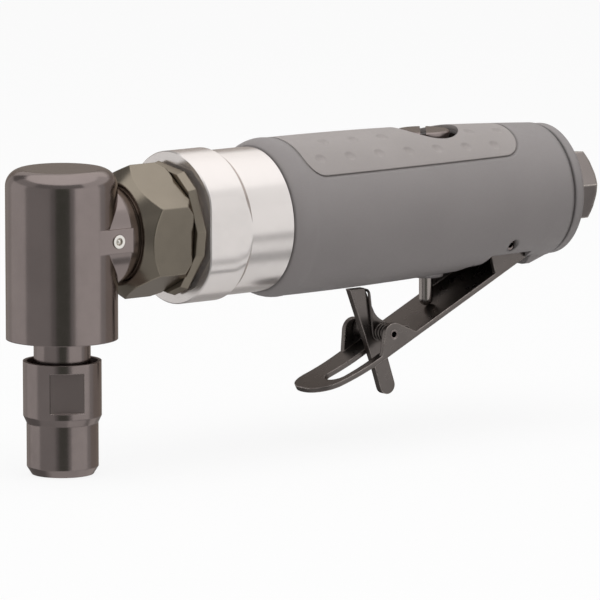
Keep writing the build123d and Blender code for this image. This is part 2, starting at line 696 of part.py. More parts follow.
def hex_rod(flats, start, end, clock=0.0):
    hexagon = RegularPolygon(flats / 2, HEX_SIDES, major_radius=False, rotation=clock)
    return prism_x(hexagon, start, end)


def bevel_gear():
    heel = root_point(GEAR_TEETH, PINION_TEETH, 1.0)
    hub_end = -(LOWER_BEARING_Z + LARGE_BEARING[2]) - AXIAL
    hub = LARGE_BEARING[0] + GEAR_HUB
    rim_end = heel[0] + GEAR_RIM
    wheel = bevel_wheel(
        GEAR_TEETH, PINION_TEETH, 180 / GEAR_TEETH,
        (rim_end, heel[1]), (rim_end + GEAR_BACK, hub), (hub_end, hub), (hub_end, 0),
    )
    wheel -= rod_x(GEAR_SEAT_RADIUS, 0, hub_end)
    return Rot(0, 90, 0) * wheel


# Spindle, collet, nut

def spindle():
    lower_top = LOWER_BEARING_Z + LARGE_BEARING[2]
    journal = LARGE_BEARING[0] - RUN
    tip = SMALL_BEARING[0] - RUN
    stem_top = LOWER_BEARING_Z - AXIAL
    thread_top = COLLET_NUT_TOP - COLLET_NUT_RECESS_DEPTH + SPINDLE_THREAD_RELIEF
    gear_top = -root_point(GEAR_TEETH, PINION_TEETH, GEAR_SEAT_SHARE)[0]
    tip_top = UPPER_BEARING_Z + SMALL_BEARING[2] - SHEET_GAP
    body = turned_z(
        (0, SPINDLE_END), (SPINDLE_THREAD_RADIUS, SPINDLE_END), (SPINDLE_THREAD_RADIUS, thread_top),
        (STEM_RADIUS, thread_top), (STEM_RADIUS, stem_top), (journal, stem_top), (journal, lower_top - AXIAL),
        (GEAR_SEAT_RADIUS - FIT, lower_top - AXIAL), (GEAR_SEAT_RADIUS - FIT, gear_top),
        (SHAFT_RADIUS - AXIAL, gear_top), (SHAFT_RADIUS - AXIAL, UPPER_BEARING_Z), (tip, UPPER_BEARING_Z),
        (tip, tip_top), (0, tip_top),
    )
    shank = COLLET_BORE + SHANK_PLAY
    taper = turned_z(
        (0, SPINDLE_END), (collet_tail_start() + FIT, SPINDLE_END), (COLLET_TAIL + FIT, COLLET_TOP_Z + AXIAL),
        (shank, COLLET_TOP_Z + AXIAL), (shank, NOSE_Z + SHANK_DEPTH), (0, NOSE_Z + SHANK_DEPTH + shank / 2),
    )
    return body - taper


def collet_tail_start():
    """Radius at the wide end of the collet's rear taper, where it enters the spindle."""
    return COLLET_SHOULDER - COLLET_TAIL_STEP


def collet():
    body = turned_z(
        (COLLET_BORE, NOSE_Z), (COLLET_NOSE_RADIUS, NOSE_Z), (COLLET_SHOULDER, NOSE_Z + COLLET_CONE),
        (COLLET_SHOULDER, SPINDLE_END - AXIAL), (collet_tail_start(), SPINDLE_END),
        (COLLET_TAIL, COLLET_TOP_Z), (COLLET_BORE, COLLET_TOP_Z),
    )
    for count in range(COLLET_SLITS):
        slit = Pos(COLLET_SHOULDER / 2, 0, NOSE_Z + COLLET_SLIT_LENGTH / 2)
        slit *= Box(COLLET_SHOULDER, COLLET_SLIT, COLLET_SLIT_LENGTH)
        body -= Rot(0, 0, 360 / COLLET_SLITS * (count + 1 / 2)) * slit
    return body


def collet_nut():
    body_low = COLLET_NUT_TOP - COLLET_NUT_BODY
    neck_top = body_low - COLLET_NUT_STEP
    nose_top = NOSE_Z + COLLET_NUT_NOSE_LENGTH
    mouth_low = COLLET_NUT_TOP - COLLET_FLAT_TOP + COLLET_NUT_MOUTH_FLOOR
    recess_low = COLLET_NUT_TOP - COLLET_NUT_RECESS_DEPTH
    cone_top = NOSE_Z + COLLET_CONE
    bore = SPINDLE_THREAD_RADIUS + FIT
    body = turned_z(
        (COLLET_NOSE_RADIUS + FIT, NOSE_Z), (COLLET_NUT_NOSE, NOSE_Z), (COLLET_NUT_NECK, nose_top),
        (COLLET_NUT_NECK, neck_top), (COLLET_NUT_RADIUS, body_low), (COLLET_NUT_RADIUS, COLLET_NUT_TOP),
        (COLLET_NUT_RECESS, COLLET_NUT_TOP), (COLLET_NUT_RECESS, mouth_low), (COLLET_NUT_RELIEF, mouth_low),
        (COLLET_NUT_RELIEF, recess_low), (bore, recess_low),
        (bore, SPINDLE_END - AXIAL), (COLLET_SHOULDER + FIT, SPINDLE_END - COLLET_NUT_SHOULDER),
        (COLLET_SHOULDER + FIT, cone_top),
    )
    depth = COLLET_NUT_RADIUS
    flat = Pos(COLLET_NUT_FLATS / 2 + depth / 2, 0, COLLET_NUT_TOP - COLLET_FLAT_TOP - COLLET_FLAT_HEIGHT / 2)
    flat *= Box(depth, 2 * depth, COLLET_FLAT_HEIGHT)
    for turn in (0, 180):
        body -= Rot(0, 0, COLLET_FLAT_ANGLE + turn) * flat
    return body


# Coupling nut, jam ring, front adapter

def coupling_nut():
    cone_end = COUPLING_FRONT + COUPLING_CORNER - COUPLING_NOSE_RADIUS
    bevel = COUPLING_CORNER - COUPLING_REAR_CHAMFER * math.tan(math.radians(HEX_CHAMFER_ANGLE))
    bore = THREAD_RADIUS + FIT
    lip = COUPLING_FRONT + COUPLING_LIP
    shape = turned_x(
        (COUPLING_FRONT, NECK_RADIUS + AXIAL), (COUPLING_FRONT, COUPLING_NOSE_RADIUS),
        (cone_end, COUPLING_CORNER), (COUPLING_REAR - COUPLING_REAR_CHAMFER, COUPLING_CORNER),
        (COUPLING_REAR, bevel), (COUPLING_REAR, bore), (lip, bore), (lip, NECK_RADIUS + AXIAL),
    )
    return shape & hex_rod(COUPLING_FLATS, COUPLING_FRONT, COUPLING_REAR, COUPLING_CLOCK)


def jam_ring():
    rear = JAM_FRONT + JAM_LENGTH
    half_side = 180 / HEX_SIDES
    body = hex_rod(JAM_FLATS, JAM_FRONT, rear, JAM_CLOCK)
    body &= hex_rod(JAM_CORNERS, JAM_FRONT, rear, JAM_CLOCK + half_side)
    return body - rod_x(THREAD_RADIUS + FIT, JAM_FRONT, rear)


def front_adapter():
    chamfer_start = ADAPTER_FACE + COLLAR_LENGTH
    body = turned_x(
        (NECK_END, ADAPTER_BORE), (NECK_END, THREAD_RADIUS), (ADAPTER_FACE, THREAD_RADIUS),
        (ADAPTER_FACE, COLLAR_RADIUS - COLLAR_EDGE), (ADAPTER_FACE + COLLAR_EDGE, COLLAR_RADIUS),
        (chamfer_start, COLLAR_RADIUS), (HOUSING_FRONT, HOUSING_RING), (HOUSING_FRONT, HOUSING_BORE - FIT),
        (PLATE_FRONT, HOUSING_BORE - FIT), (PLATE_FRONT, ADAPTER_BORE),
    )
    for side in (-1, 1):
        flat = Pos((ADAPTER_FACE + HOUSING_FRONT) / 2, side * (COLLAR_RADIUS - COLLAR_FLAT / 2), 0)
        body -= flat * Box(HOUSING_FRONT - ADAPTER_FACE, COLLAR_FLAT, 2 * COLLAR_RADIUS)
    return body


# Motor

def motor_housing():
    body = turned_x(
        (HOUSING_FRONT, HOUSING_BORE), (HOUSING_FRONT, HOUSING_RING), (RING_REAR, HOUSING_RING),
        (RING_REAR, HOUSING_TUBE), (GRIP_REAR, HOUSING_TUBE), (GRIP_REAR, REAR_SPIGOT_RADIUS),
        (REAR_SPIGOT_END, REAR_SPIGOT_RADIUS), (REAR_SPIGOT_END, 0), (MOTOR_REAR, 0),
        (MOTOR_REAR, HOUSING_BORE),
    )
    thread_start = REAR_SPIGOT_END - INLET_THREAD_LENGTH
    body -= rod_x(INLET_THREAD, thread_start, REAR_SPIGOT_END)
    body -= rod_x(AIRWAY_RADIUS, VALVE_X, thread_start)
    body -= rod_x(FEED_RADIUS, MOTOR_REAR, VALVE_X)
    body -= rod_z(VALVE_BORE, -HOUSING_TUBE, REGULATOR_BOTTOM, VALVE_X)
    body -= rod_z(VALVE_BORE, REGULATOR_BOTTOM, HOUSING_TUBE, REGULATOR_X)
    body -= rod_z(RECESS_RADIUS, RECESS_FLOOR, HOUSING_TUBE, REGULATOR_X)
    muffler_front = REAR_SPIGOT_END - MUFFLER_LENGTH
    muffler = rod_x(MUFFLER_OUTER, muffler_front, REAR_SPIGOT_END)
    body -= muffler - rod_x(MUFFLER_INNER, muffler_front, REAR_SPIGOT_END)
    for side in (-1, 1):
        body -= rod_x(EXHAUST_RADIUS, MOTOR_REAR, muffler_front, side * EXHAUST_Y, EXHAUST_Z)
    body -= rod_y(LEVER_PIN_RADIUS, -HOUSING_TUBE, HOUSING_TUBE, LEVER_PIN_X, LEVER_PIN_Z)
    return body - lever_pocket() - hinge_notch()


def end_plate(start, web_at_rear):
    """A motor end plate that holds a rotor bearing and closes the cylinder."""
    rear = start + PLATE
    plate = rod_x(HOUSING_BORE - FIT, start, rear)
    seat = (start, rear - PLATE_WEB) if web_at_rear else (start + PLATE_WEB, rear)
    plate -= rod_x(SMALL_BEARING[1], *seat)
    plate -= rod_x(SMALL_BEARING[0] + SHEET_GAP, start, rear)
    return plate


def front_end_plate():
    return end_plate(PLATE_FRONT, True) - rod_x(DOWEL_RADIUS, PLATE_FRONT, CYLINDER_FRONT, 0, -DOWEL_ORBIT)


def rear_end_plate():
    plate = end_plate(CYLINDER_REAR, False) - rod_x(DOWEL_RADIUS, CYLINDER_REAR, MOTOR_REAR, 0, -DOWEL_ORBIT)
    for side in (-1, 1):
        plate -= rod_x(EXHAUST_RADIUS / 2, CYLINDER_REAR, MOTOR_REAR, side * EXHAUST_Y, EXHAUST_Z)
    return plate


def motor_cylinder():
    body = rod_x(HOUSING_BORE - FIT, CYLINDER_FRONT, CYLINDER_REAR)
    body -= rod_x(CYLINDER_BORE, CYLINDER_FRONT, CYLINDER_REAR, 0, CYLINDER_OFFSET)
    body -= rod_x(DOWEL_RADIUS, CYLINDER_FRONT, CYLINDER_REAR, 0, -DOWEL_ORBIT)
    middle = (CYLINDER_FRONT + CYLINDER_REAR) / 2
    slot = SlotOverall(PORT_LENGTH, 2 * EXHAUST_RADIUS)
    return body - slab_y(Pos(middle, CYLINDER_OFFSET) * slot, -HOUSING_BORE, HOUSING_BORE)


def cylinder_dowel():
    return rod_x(DOWEL_RADIUS - FIT, PLATE_FRONT + DOWEL_SHORT, MOTOR_REAR - DOWEL_SHORT, 0, -DOWEL_ORBIT)


def rotor():
    journal = SMALL_BEARING[0] - RUN
    nose = PLATE_FRONT - ROTOR_NOSE
    front = CYLINDER_FRONT + AXIAL
    rear = CYLINDER_REAR - AXIAL
    body = turned_x(
        (nose, 0), (nose, journal), (front, journal), (front, ROTOR_RADIUS),
        (rear, ROTOR_RADIUS), (rear, journal), (MOTOR_REAR - AXIAL, journal), (MOTOR_REAR - AXIAL, 0),
    )
    body += hex_rod(DRIVE_FLATS, drive_middle() + AXIAL, nose)
    for count in range(VANES):
        slot = Pos((front + rear) / 2, 0, VANE_ROOT + ROTOR_RADIUS / 2)
        slot *= Box(rear - front, VANE, ROTOR_RADIUS)
        body -= slot.rotate(Axis.X, 360 / VANES * count)
    return body


def vane(count):
    length = CYLINDER_LENGTH - 4 * AXIAL
    height = VANE_TIP - VANE_ROOT - VANE_PLAY
    middle = (CYLINDER_FRONT + CYLINDER_REAR) / 2
    blade = Pos(middle, 0, VANE_TIP - height / 2) * Box(length, VANE - 2 * VANE_PLAY, height)
    return blade.rotate(Axis.X, 360 / VANES * count)


def drive_coupling():
    start = drive_middle() - DRIVE_LENGTH
    end = drive_middle() + DRIVE_LENGTH
    return rod_x(COUPLER_RADIUS, start, end) - hex_rod(DRIVE_FLATS + 2 * FIT, start, end)


# Grip

def grip_edge(inset=0.0):
    """The grip's outer line, front to rear, moved in by inset."""
    start = Vector(GRIP_FRONT, GRIP_FRONT_RADIUS - inset)
    shoulder = Vector(GRIP_SHOULDER, GRIP_RADIUS - inset)
    bulge = Vector(GRIP_LIP_SHARE[0] * GRIP_LIP_LENGTH, GRIP_LIP_SHARE[1] * GRIP_SWELL)
    lip = ThreePointArc(start, start + bulge, shoulder)
    middle = ((GRIP_SHOULDER + GRIP_REAR) / 2, GRIP_MIDDLE_RADIUS - inset)
    back = ThreePointArc(shoulder, middle, (GRIP_REAR, GRIP_REAR_RADIUS - inset))
    return lip, back


def grip_radius_at(x):
    """Radius of the grip's outer line behind its shoulder."""
    _, back = grip_edge()
    centre = back.arc_center
    return centre.Y + math.sqrt(back.radius ** 2 - (x - centre.X) ** 2)


def grip_blank(inset=0.0):
    """The grip without its cuts: a turned form, solid to the axis."""
    lip, back = grip_edge(inset)
    rest = Polyline(back @ 1, (GRIP_REAR, 0), (GRIP_FRONT, 0), lip @ 0)
    return revolve(make_face(lip + back + rest), Axis.X)


def keel_section(drop):
    return Pos(0, -drop / 2) * RectangleRounded(KEEL_WIDTH, drop, KEEL_ROUND)


def keel():
    """The swelling under the grip behind the lever's pocket, rising to the rear edge."""
    slope_start = GRIP_REAR - KEEL_SLOPE
    full = keel_section(KEEL_DROP)
    low_end = keel_section(KEEL_DROP - KEEL_RISE)
    slope = loft([Plane.YZ.offset(slope_start) * full, Plane.YZ.offset(GRIP_REAR) * low_end], ruled=True)
    return prism_x(full, POCKET_REAR, slope_start) + slope


def hinge_notch():
    """The cut straight across the grip's underside that frees the lever's rear ears."""
    front = LEVER_PIN_X - NOTCH_AHEAD
    rear = LEVER_PIN_X + NOTCH_BEHIND
    low = -2 * GRIP_RADIUS
    edge = RadiusArc((front, NOTCH_ROOF), (front - NOTCH_ROUND, NOTCH_ROOF - NOTCH_ROUND), NOTCH_ROUND)
    rest = Polyline(edge @ 1, (front - NOTCH_ROUND, low), (rear, low), (rear, NOTCH_ROOF), edge @ 0)
    return slab_y(make_face(edge + rest), -GRIP_RADIUS, GRIP_RADIUS)


def panel_area(grow):
    """The panel's outline in the side view, enlarged by grow."""
    height = 2 * GRIP_RADIUS
    length = PANEL_REAR - PANEL_FRONT
    plain = Rectangle(length + 2 * grow, height + 2 * grow)
    front = fillet(plain.vertices().group_by(Axis.X)[0], PANEL_FRONT_ROUND + grow)
    both = fillet(front.vertices().group_by(Axis.X)[-1], PANEL_REAR_ROUND + grow)
    return Pos((PANEL_FRONT + PANEL_REAR) / 2, PANEL_LOW + height / 2) * both


def dimple(x, angle):
    """The ball that presses one shallow dimple into the grip, at an angle above the horizontal."""
    reach = grip_radius_at(x) + DIMPLE_SPHERE - DIMPLE_DEPTH
    lift = math.radians(angle)
    return Pos(x, -reach * math.cos(lift), reach * math.sin(lift)) * Sphere(DIMPLE_SPHERE)


def dimples():
    """Two rows on each side, the upper one half a step behind the lower and missing in the recess."""
    balls = []
    rows = ((DIMPLE_LOW_START, DIMPLE_LOW_ANGLE), (DIMPLE_HIGH_START, DIMPLE_HIGH_ANGLE))
    for first, angle in rows:
        for step in range(DIMPLE_COUNT):
            x = PANEL_FRONT + first + DIMPLE_PITCH * step
            aside = abs(grip_radius_at(x) * math.cos(math.radians(angle)))
            if math.hypot(x - REGULATOR_X, aside) > RECESS_RADIUS + DIMPLE_MARGIN:
                balls += [dimple(x, angle), dimple(x, 180 - angle)]
    return balls


def lever_pocket():
    half = LEVER_HALF + SHEET_GAP
    depth = 3 * KEEL_DROP
    box = Pos((POCKET_FRONT + POCKET_REAR) / 2, 0, POCKET_TOP - depth / 2)
    box *= Box(POCKET_REAR - POCKET_FRONT, 2 * half, depth)
    return fillet(box.edges().filter_by(Axis.Z).group_by(Axis.X)[0], POCKET_ROUND)


def grip_sleeve():
    body = grip_blank() + keel()
    body -= slab_y(panel_area(PANEL_GROOVE), -GRIP_RADIUS, GRIP_RADIUS) - grip_blank(PANEL_DEPTH)
    body -= rod_x(HOUSING_TUBE, GRIP_FRONT, GRIP_REAR)
    body -= rod_z(RECESS_RADIUS, 0, 2 * GRIP_RADIUS, REGULATOR_X)
    body -= rod_z(VALVE_BORE, -2 * GRIP_RADIUS, 0, VALVE_X)
    body -= rod_y(LEVER_PIN_RADIUS, -GRIP_RADIUS, GRIP_RADIUS, LEVER_PIN_X, LEVER_PIN_Z)
    return body - lever_pocket() - hinge_notch()


def grip_panel():
    body = slab_y(panel_area(0), -GRIP_RADIUS, GRIP_RADIUS) & grip_blank()
    body -= grip_blank(PANEL_DEPTH)
    body -= rod_z(RECESS_RADIUS, 0, 2 * GRIP_RADIUS, REGULATOR_X)
    return body - dimples()


# Throttle valve and regulator

def grip_underside():
    """Height of the grip's underside on the valve's axis."""
    return -grip_radius_at(VALVE_X)


def plunger_bushing():
    low = grip_underside() - BUSHING_PROUD
    bushing = rod_z(VALVE_BORE - FIT, low, BUSHING_TOP, VALVE_X)
    return bushing - rod_z(PLUNGER_RADIUS + RUN, low, BUSHING_TOP, VALVE_X)


def valve_seat():
    low = SEAT_TOP - SEAT_HEIGHT
    return rod_z(VALVE_BORE - FIT, low, SEAT_TOP, VALVE_X) - rod_z(SEAT_HOLE, low, SEAT_TOP, VALVE_X)


def plunger_foot():
    """Height of the centre of the plunger's round end, resting just above the lever's web."""
    slope = math.radians(LEVER_SLOPE)
    ahead = LEVER_PIN_X - VALVE_X
    web = LEVER_PIN_Z - ahead * math.tan(slope) - LEVER_WEB / math.cos(slope)
    return web + (PLUNGER_RADIUS + AXIAL) / math.cos(slope)


def throttle_plunger():
    pin = rod_z(PLUNGER_RADIUS, plunger_foot(), PLUNGER_TOP, VALVE_X)
    return pin + Pos(VALVE_X, 0, plunger_foot()) * Sphere(PLUNGER_RADIUS)


def throttle_valve():
    low = SEAT_TOP + AXIAL
    top = low + VALVE_DISC
    body = rod_z(VALVE_RADIUS, low, top, VALVE_X) + rod_z(VALVE_STEM, PLUNGER_TOP, low, VALVE_X)
    return body + rod_z(VALVE_PIN, top, top + VALVE_PIN_LENGTH, VALVE_X)


def valve_spring():
    low = SEAT_TOP + AXIAL + VALVE_DISC + SPRING_WIRE
    length = REGULATOR_BOTTOM - AXIAL - SPRING_WIRE - low
    coil = helix_edges(SPRING_RADIUS, length / SPRING_TURNS, 0.0, 2 * math.pi * SPRING_TURNS)
    lead_in = Edge.make_line((coil[0] @ 0) - (coil[0] % 0) * 2 * SPRING_WIRE, coil[0] @ 0)
    edges = [lead_in] + coil + [straight(coil[-1] @ 1, coil[-1] % 1, 2 * SPRING_WIRE)]
    print("valve spring: least gap to itself", least_gap(edges, SPRING_WIRE))
    return Pos(VALVE_X, 0, low) * wire_tube(edges, SPRING_WIRE)


def air_regulator():
    cap_low = RECESS_FLOOR + AXIAL
    body = rod_z(REGULATOR_RADIUS, cap_low, REGULATOR_TOP, REGULATOR_X)
    body = chamfer(body.edges().group_by(Axis.Z)[-1], REGULATOR_EDGE)
    body += rod_z(VALVE_BORE - REGULATOR_NECK_PLAY, REGULATOR_BOTTOM, cap_low, REGULATOR_X)
    slot = Pos(REGULATOR_X, 0, REGULATOR_TOP - REGULATOR_SLOT_DEPTH / 2) * Rot(0, 0, REGULATOR_SLOT_ANGLE)
    return body - slot * Box(3 * REGULATOR_RADIUS, REGULATOR_SLOT, REGULATOR_SLOT_DEPTH)


# Rear end

def exhaust_deflector():
    wall = DEFLECTOR_REAR - DEFLECTOR_WALL
    body = turned_x(
        (DEFLECTOR_FRONT, REAR_SPIGOT_RADIUS + RUN), (DEFLECTOR_FRONT, DEFLECTOR_RADIUS),
        (DEFLECTOR_REAR - DEFLECTOR_EDGE, DEFLECTOR_RADIUS),
        (DEFLECTOR_REAR, DEFLECTOR_RADIUS - DEFLECTOR_EDGE),
        (DEFLECTOR_REAR, INLET_NECK + RUN), (wall, INLET_NECK + RUN), (wall, REAR_SPIGOT_RADIUS + RUN),
    )
    for count in range(DEFLECTOR_HOLES):
        turn = DEFLECTOR_HOLE_STEP * (count - (DEFLECTOR_HOLES - 1) / 2)
        hole = rod_x(DEFLECTOR_HOLE, wall, DEFLECTOR_REAR, 0, -DEFLECTOR_HOLE_ORBIT)
        body -= hole.rotate(Axis.X, turn)
    return body


def inlet_bushing():
    hex_front = DEFLECTOR_REAR + AXIAL
    corner = INLET_HEX_FLATS / 2 / math.cos(math.pi / HEX_SIDES)
    bevel = INLET_HEX_CHAMFER * math.tan(math.radians(HEX_CHAMFER_ANGLE))
    cap = turned_x(
        (hex_front, 0), (hex_front, corner), (INLET_REAR - bevel, corner),
        (INLET_REAR, corner - INLET_HEX_CHAMFER), (INLET_REAR, 0),
    )
    body = cap & hex_rod(INLET_HEX_FLATS, hex_front, INLET_REAR, INLET_CLOCK)
    body += rod_x(INLET_NECK, REAR_SPIGOT_END, hex_front)
    body += rod_x(INLET_THREAD - FIT, REAR_SPIGOT_END - INLET_THREAD_LENGTH, REAR_SPIGOT_END)
    body -= rod_x(INLET_BORE, INLET_REAR - INLET_BORE_DEPTH, INLET_REAR)
    return body - rod_x(INLET_PASSAGE, REAR_SPIGOT_END - INLET_THREAD_LENGTH, INLET_REAR)


def inlet_screen():
    rear = INLET_REAR - INLET_BORE_DEPTH - AXIAL
    front = rear - SCREEN_LENGTH
    outer = INLET_PASSAGE - FIT
    cup = rod_x(outer, front, rear) - rod_x(outer - SCREEN_WALL, front + SCREEN_WALL, rear)
    for count in range(SCREEN_SLOTS):
        slot = Pos((front + rear) / 2, 0, outer) * Box(SCREEN_SLOT_LENGTH, SCREEN_SLOT, outer)
        cup -= slot.rotate(Axis.X, 360 / SCREEN_SLOTS * count)
    return cup


def muffler():
    start = REAR_SPIGOT_END - MUFFLER_LENGTH
    ring = rod_x(MUFFLER_OUTER - FIT, start, REAR_SPIGOT_END)
    return ring - rod_x(MUFFLER_INNER + FIT, start, REAR_SPIGOT_END)


# Throttle lever and lock-off lever

def roll_pin(radius, bore, length, slit, x, z):
    """A slit spring pin lying across the tool."""
    pin = rod_y(radius, -length / 2, length / 2, x, z) - rod_y(bore, -length / 2, length / 2, x, z)
    return pin - Pos(x + radius, 0, z) * Box(2 * radius, length, slit)


def lever_pin():
    half = math.sqrt(grip_radius_at(LEVER_PIN_X) ** 2 - LEVER_PIN_Z ** 2) - LEVER_PIN_SUNK
    radius = LEVER_PIN_RADIUS - FIT
    return roll_pin(radius, LEVER_PIN_BORE, 2 * half, LEVER_PIN_SLIT, LEVER_PIN_X, LEVER_PIN_Z)


def spoon_point(radius, angle):
    """A point of the spoon's curve; radius is measured from the bend's centre above the web."""
    centre = (LEVER_BEND, LEVER_SPOON_RADIUS - LEVER_WEB - LEVER_SHEET)
    turn = math.radians(angle)
    return centre[0] + radius * math.sin(turn), centre[1] - radius * math.cos(turn)


def lever_strip():
    """The lever's web and spoon, cut to their outline seen from above."""
    inner = LEVER_SPOON_RADIUS - LEVER_SHEET
    half_turn = LEVER_SPOON_ANGLE / 2
    low = -LEVER_WEB - LEVER_SHEET
    under = ThreePointArc(
        spoon_point(LEVER_SPOON_RADIUS, 0), spoon_point(LEVER_SPOON_RADIUS, half_turn),
        spoon_point(LEVER_SPOON_RADIUS, LEVER_SPOON_ANGLE),
    )
    over = ThreePointArc(
        spoon_point(inner, LEVER_SPOON_ANGLE), spoon_point(inner, half_turn), spoon_point(inner, 0),
    )
    web = Polyline(over @ 1, (-LEVER_TAIL, -LEVER_WEB), (-LEVER_TAIL, low), under @ 0)
    side = make_face(under + Line(under @ 1, over @ 0) + over + web)
    strip = lever_slab(side, -LEVER_HALF, LEVER_HALF)
    return strip & lever_plan()


def lever_plan():
    """The lever's outline seen square to its web, as an upright prism with the lock's slot."""
    tip = spoon_point(LEVER_SPOON_RADIUS, LEVER_SPOON_ANGLE)[0]
    half_tip = LEVER_TIP_WIDTH / 2
    shape = outline(
        (-LEVER_TAIL, -LEVER_HALF), (LEVER_TAPER_START, -LEVER_HALF), (tip, -half_tip), (tip, half_tip),
        (LEVER_TAPER_START, LEVER_HALF), (-LEVER_TAIL, LEVER_HALF),
    )
    shape = fillet(shape.vertices().group_by(Axis.X)[-1], LEVER_TIP_ROUND)
    slot_far = LOCK_FAR_FACE + SHEET_GAP
    slot = Pos((LOCK_SLOT[0] + LOCK_SLOT[1]) / 2, (LOCK_SLOT_NEAR - slot_far) / 2)
    shape -= slot * SlotOverall(LOCK_SLOT[1] - LOCK_SLOT[0], LOCK_SLOT_NEAR + slot_far)
    seen_from_above = Plane(origin=lever_point(0, 0), x_dir=LEVER_FRAME.x_dir, z_dir=LEVER_FRAME.y_dir)
    return extrude(seen_from_above * shape, amount=LEVER_SPOON_RADIUS, both=True)


def lug(centre, round_radius, base):
    """An ear's outline: a rounded top about a pin, running down to the web."""
    top = Pos(*centre) * Circle(round_radius)
    foot = Pos((base[0] + base[1]) / 2, -LEVER_WEB - LEVER_SHEET / 2)
    foot *= Rectangle(base[1] - base[0], LEVER_SHEET)
    return make_hull(top.edges() + foot.edges())


def throttle_lever():
    body = lever_strip()
    rear_ear = lug((0, 0), LEVER_EAR_ROUND, (-LEVER_TAIL, LEVER_EAR_FRONT))
    near_ear = lug(LOCK_PIN_AT, LOCK_EAR_ROUND, LOCK_EAR_BASE)
    far_centre = (LOCK_PIN_AT[0] + LOCK_EAR_AHEAD, LOCK_PIN_AT[1])
    far_ear = lug(far_centre, LOCK_EAR_FAR_ROUND, (LOCK_EAR_BASE[0], LOCK_EAR_BASE[1] + LOCK_EAR_AHEAD))
    gusset = outline(
        (0, -LEVER_WEB), (GUSSET_FRONT, -LEVER_WEB), (GUSSET_FRONT - GUSSET_SLOPE, GUSSET_TOP),
        (0, GUSSET_TOP),
    )
    near_wall = (-LEVER_HALF, -LEVER_HALF + LEVER_SHEET)
    far_wall = (LEVER_HALF - LEVER_SHEET, LEVER_HALF)
    body += lever_slab(rear_ear, *near_wall) + lever_slab(near_ear, *near_wall)
    body += lever_slab(rear_ear, *far_wall) + lever_slab(far_ear, *far_wall) + lever_slab(gusset, *far_wall)
    body -= rod_y(LEVER_PIN_RADIUS + RUN, -LEVER_WIDTH, LEVER_WIDTH, LEVER_PIN_X, LEVER_PIN_Z)
    return body - rod_y(LOCK_PIN_RADIUS, -LEVER_WIDTH, LEVER_WIDTH, LOCK_PIN.X, LOCK_PIN.Z)


def lock_pin():
    pin = rod_y(LOCK_PIN_RADIUS - FIT, -LEVER_HALF, LEVER_HALF, LOCK_PIN.X, LOCK_PIN.Z)
    return pin - rod_y(LOCK_PIN_BORE, -LEVER_HALF, LEVER_HALF, LOCK_PIN.X, LOCK_PIN.Z)


def lock_lever():
    """The safety blade: leaning upper plate, hub and rounded tab, with a barrel on the far side."""
    tab_lean = math.atan2(LOCK_TAB_END[0] - LOCK_TAB_FRONT[0], LOCK_TAB_FRONT[1] - LOCK_TAB_END[1])
    aside = (LOCK_TAB_ROUND * math.cos(tab_lean / 2), LOCK_TAB_ROUND * math.sin(tab_lean / 2))
    tab_front = (LOCK_TAB_END[0] - aside[0], LOCK_TAB_END[1] - aside[1])
    tab_rear = (LOCK_TAB_END[0] + aside[0], LOCK_TAB_END[1] + aside[1])
    plate = Polyline(
        LOCK_NECK_END, (LOCK_HUB, 0), LOCK_TAB_REAR, tab_rear, tab_front, LOCK_TAB_FRONT,
        (LOCK_TOP_FRONT, LOCK_TOP), (LOCK_TOP_REAR, LOCK_TOP), LOCK_NECK_START,
    )
    neck = ThreePointArc(LOCK_NECK_START, LOCK_NECK_MIDDLE, LOCK_NECK_END)
    blade = make_face(plate + neck) + Circle(LOCK_HUB) + Pos(*LOCK_TAB_END) * Circle(LOCK_TAB_ROUND)
    body = Pos(LOCK_PIN.X, 0, LOCK_PIN.Z) * slab_y(blade, LOCK_NEAR_FACE, LOCK_FAR_FACE)
    body += rod_y(LOCK_BARREL, LOCK_FAR_FACE, LEVER_HALF - LEVER_SHEET - SHEET_GAP, LOCK_PIN.X, LOCK_PIN.Z)
    return body - rod_y(LOCK_PIN_RADIUS + RUN, -LEVER_WIDTH, LEVER_WIDTH, LOCK_PIN.X, LOCK_PIN.Z)


def lock_spring():
    """A torsion spring on the lock pin: one leg hooks over the blade, the other lies back on the web."""
    lean = math.radians(LOCK_LEG_LEAN)
    leg_way = Vector(math.sin(lean), -math.cos(lean), 0)
    across = Vector(0, 0, 1)
    leave = math.radians(LEVER_SLOPE) - QUARTER_TURN + 2 * math.pi * (LOCK_COIL_TURNS + 1)
    coil = helix_edges(LOCK_COIL, LOCK_COIL_PITCH, math.pi + lean, leave - math.pi - lean)
    leg_low = coil[0] @ 0
    leg_high = leg_low - leg_way * LOCK_LEG
    hook = leg_high - leg_way * LOCK_HOOK - across * LOCK_HOOK
    tail = hook - across * 2 * LOCK_WIRE
    edges = [Edge.make_line(tail, hook), Edge.make_tangent_arc(hook, across, leg_high)]
    edges += [Edge.make_line(leg_high, leg_low)] + coil
    edges.append(straight(coil[-1] @ 1, coil[-1] % 1, LOCK_FOOT))
    print("lock spring: least gap to itself", least_gap(edges, LOCK_WIRE))
    start = LOCK_NEAR_FACE - LOCK_WIRE - LOCK_LEG_GAP
    return Pos(LOCK_PIN.X, start, LOCK_PIN.Z) * Rot(90, 0, 0) * wire_tube(edges, LOCK_WIRE)


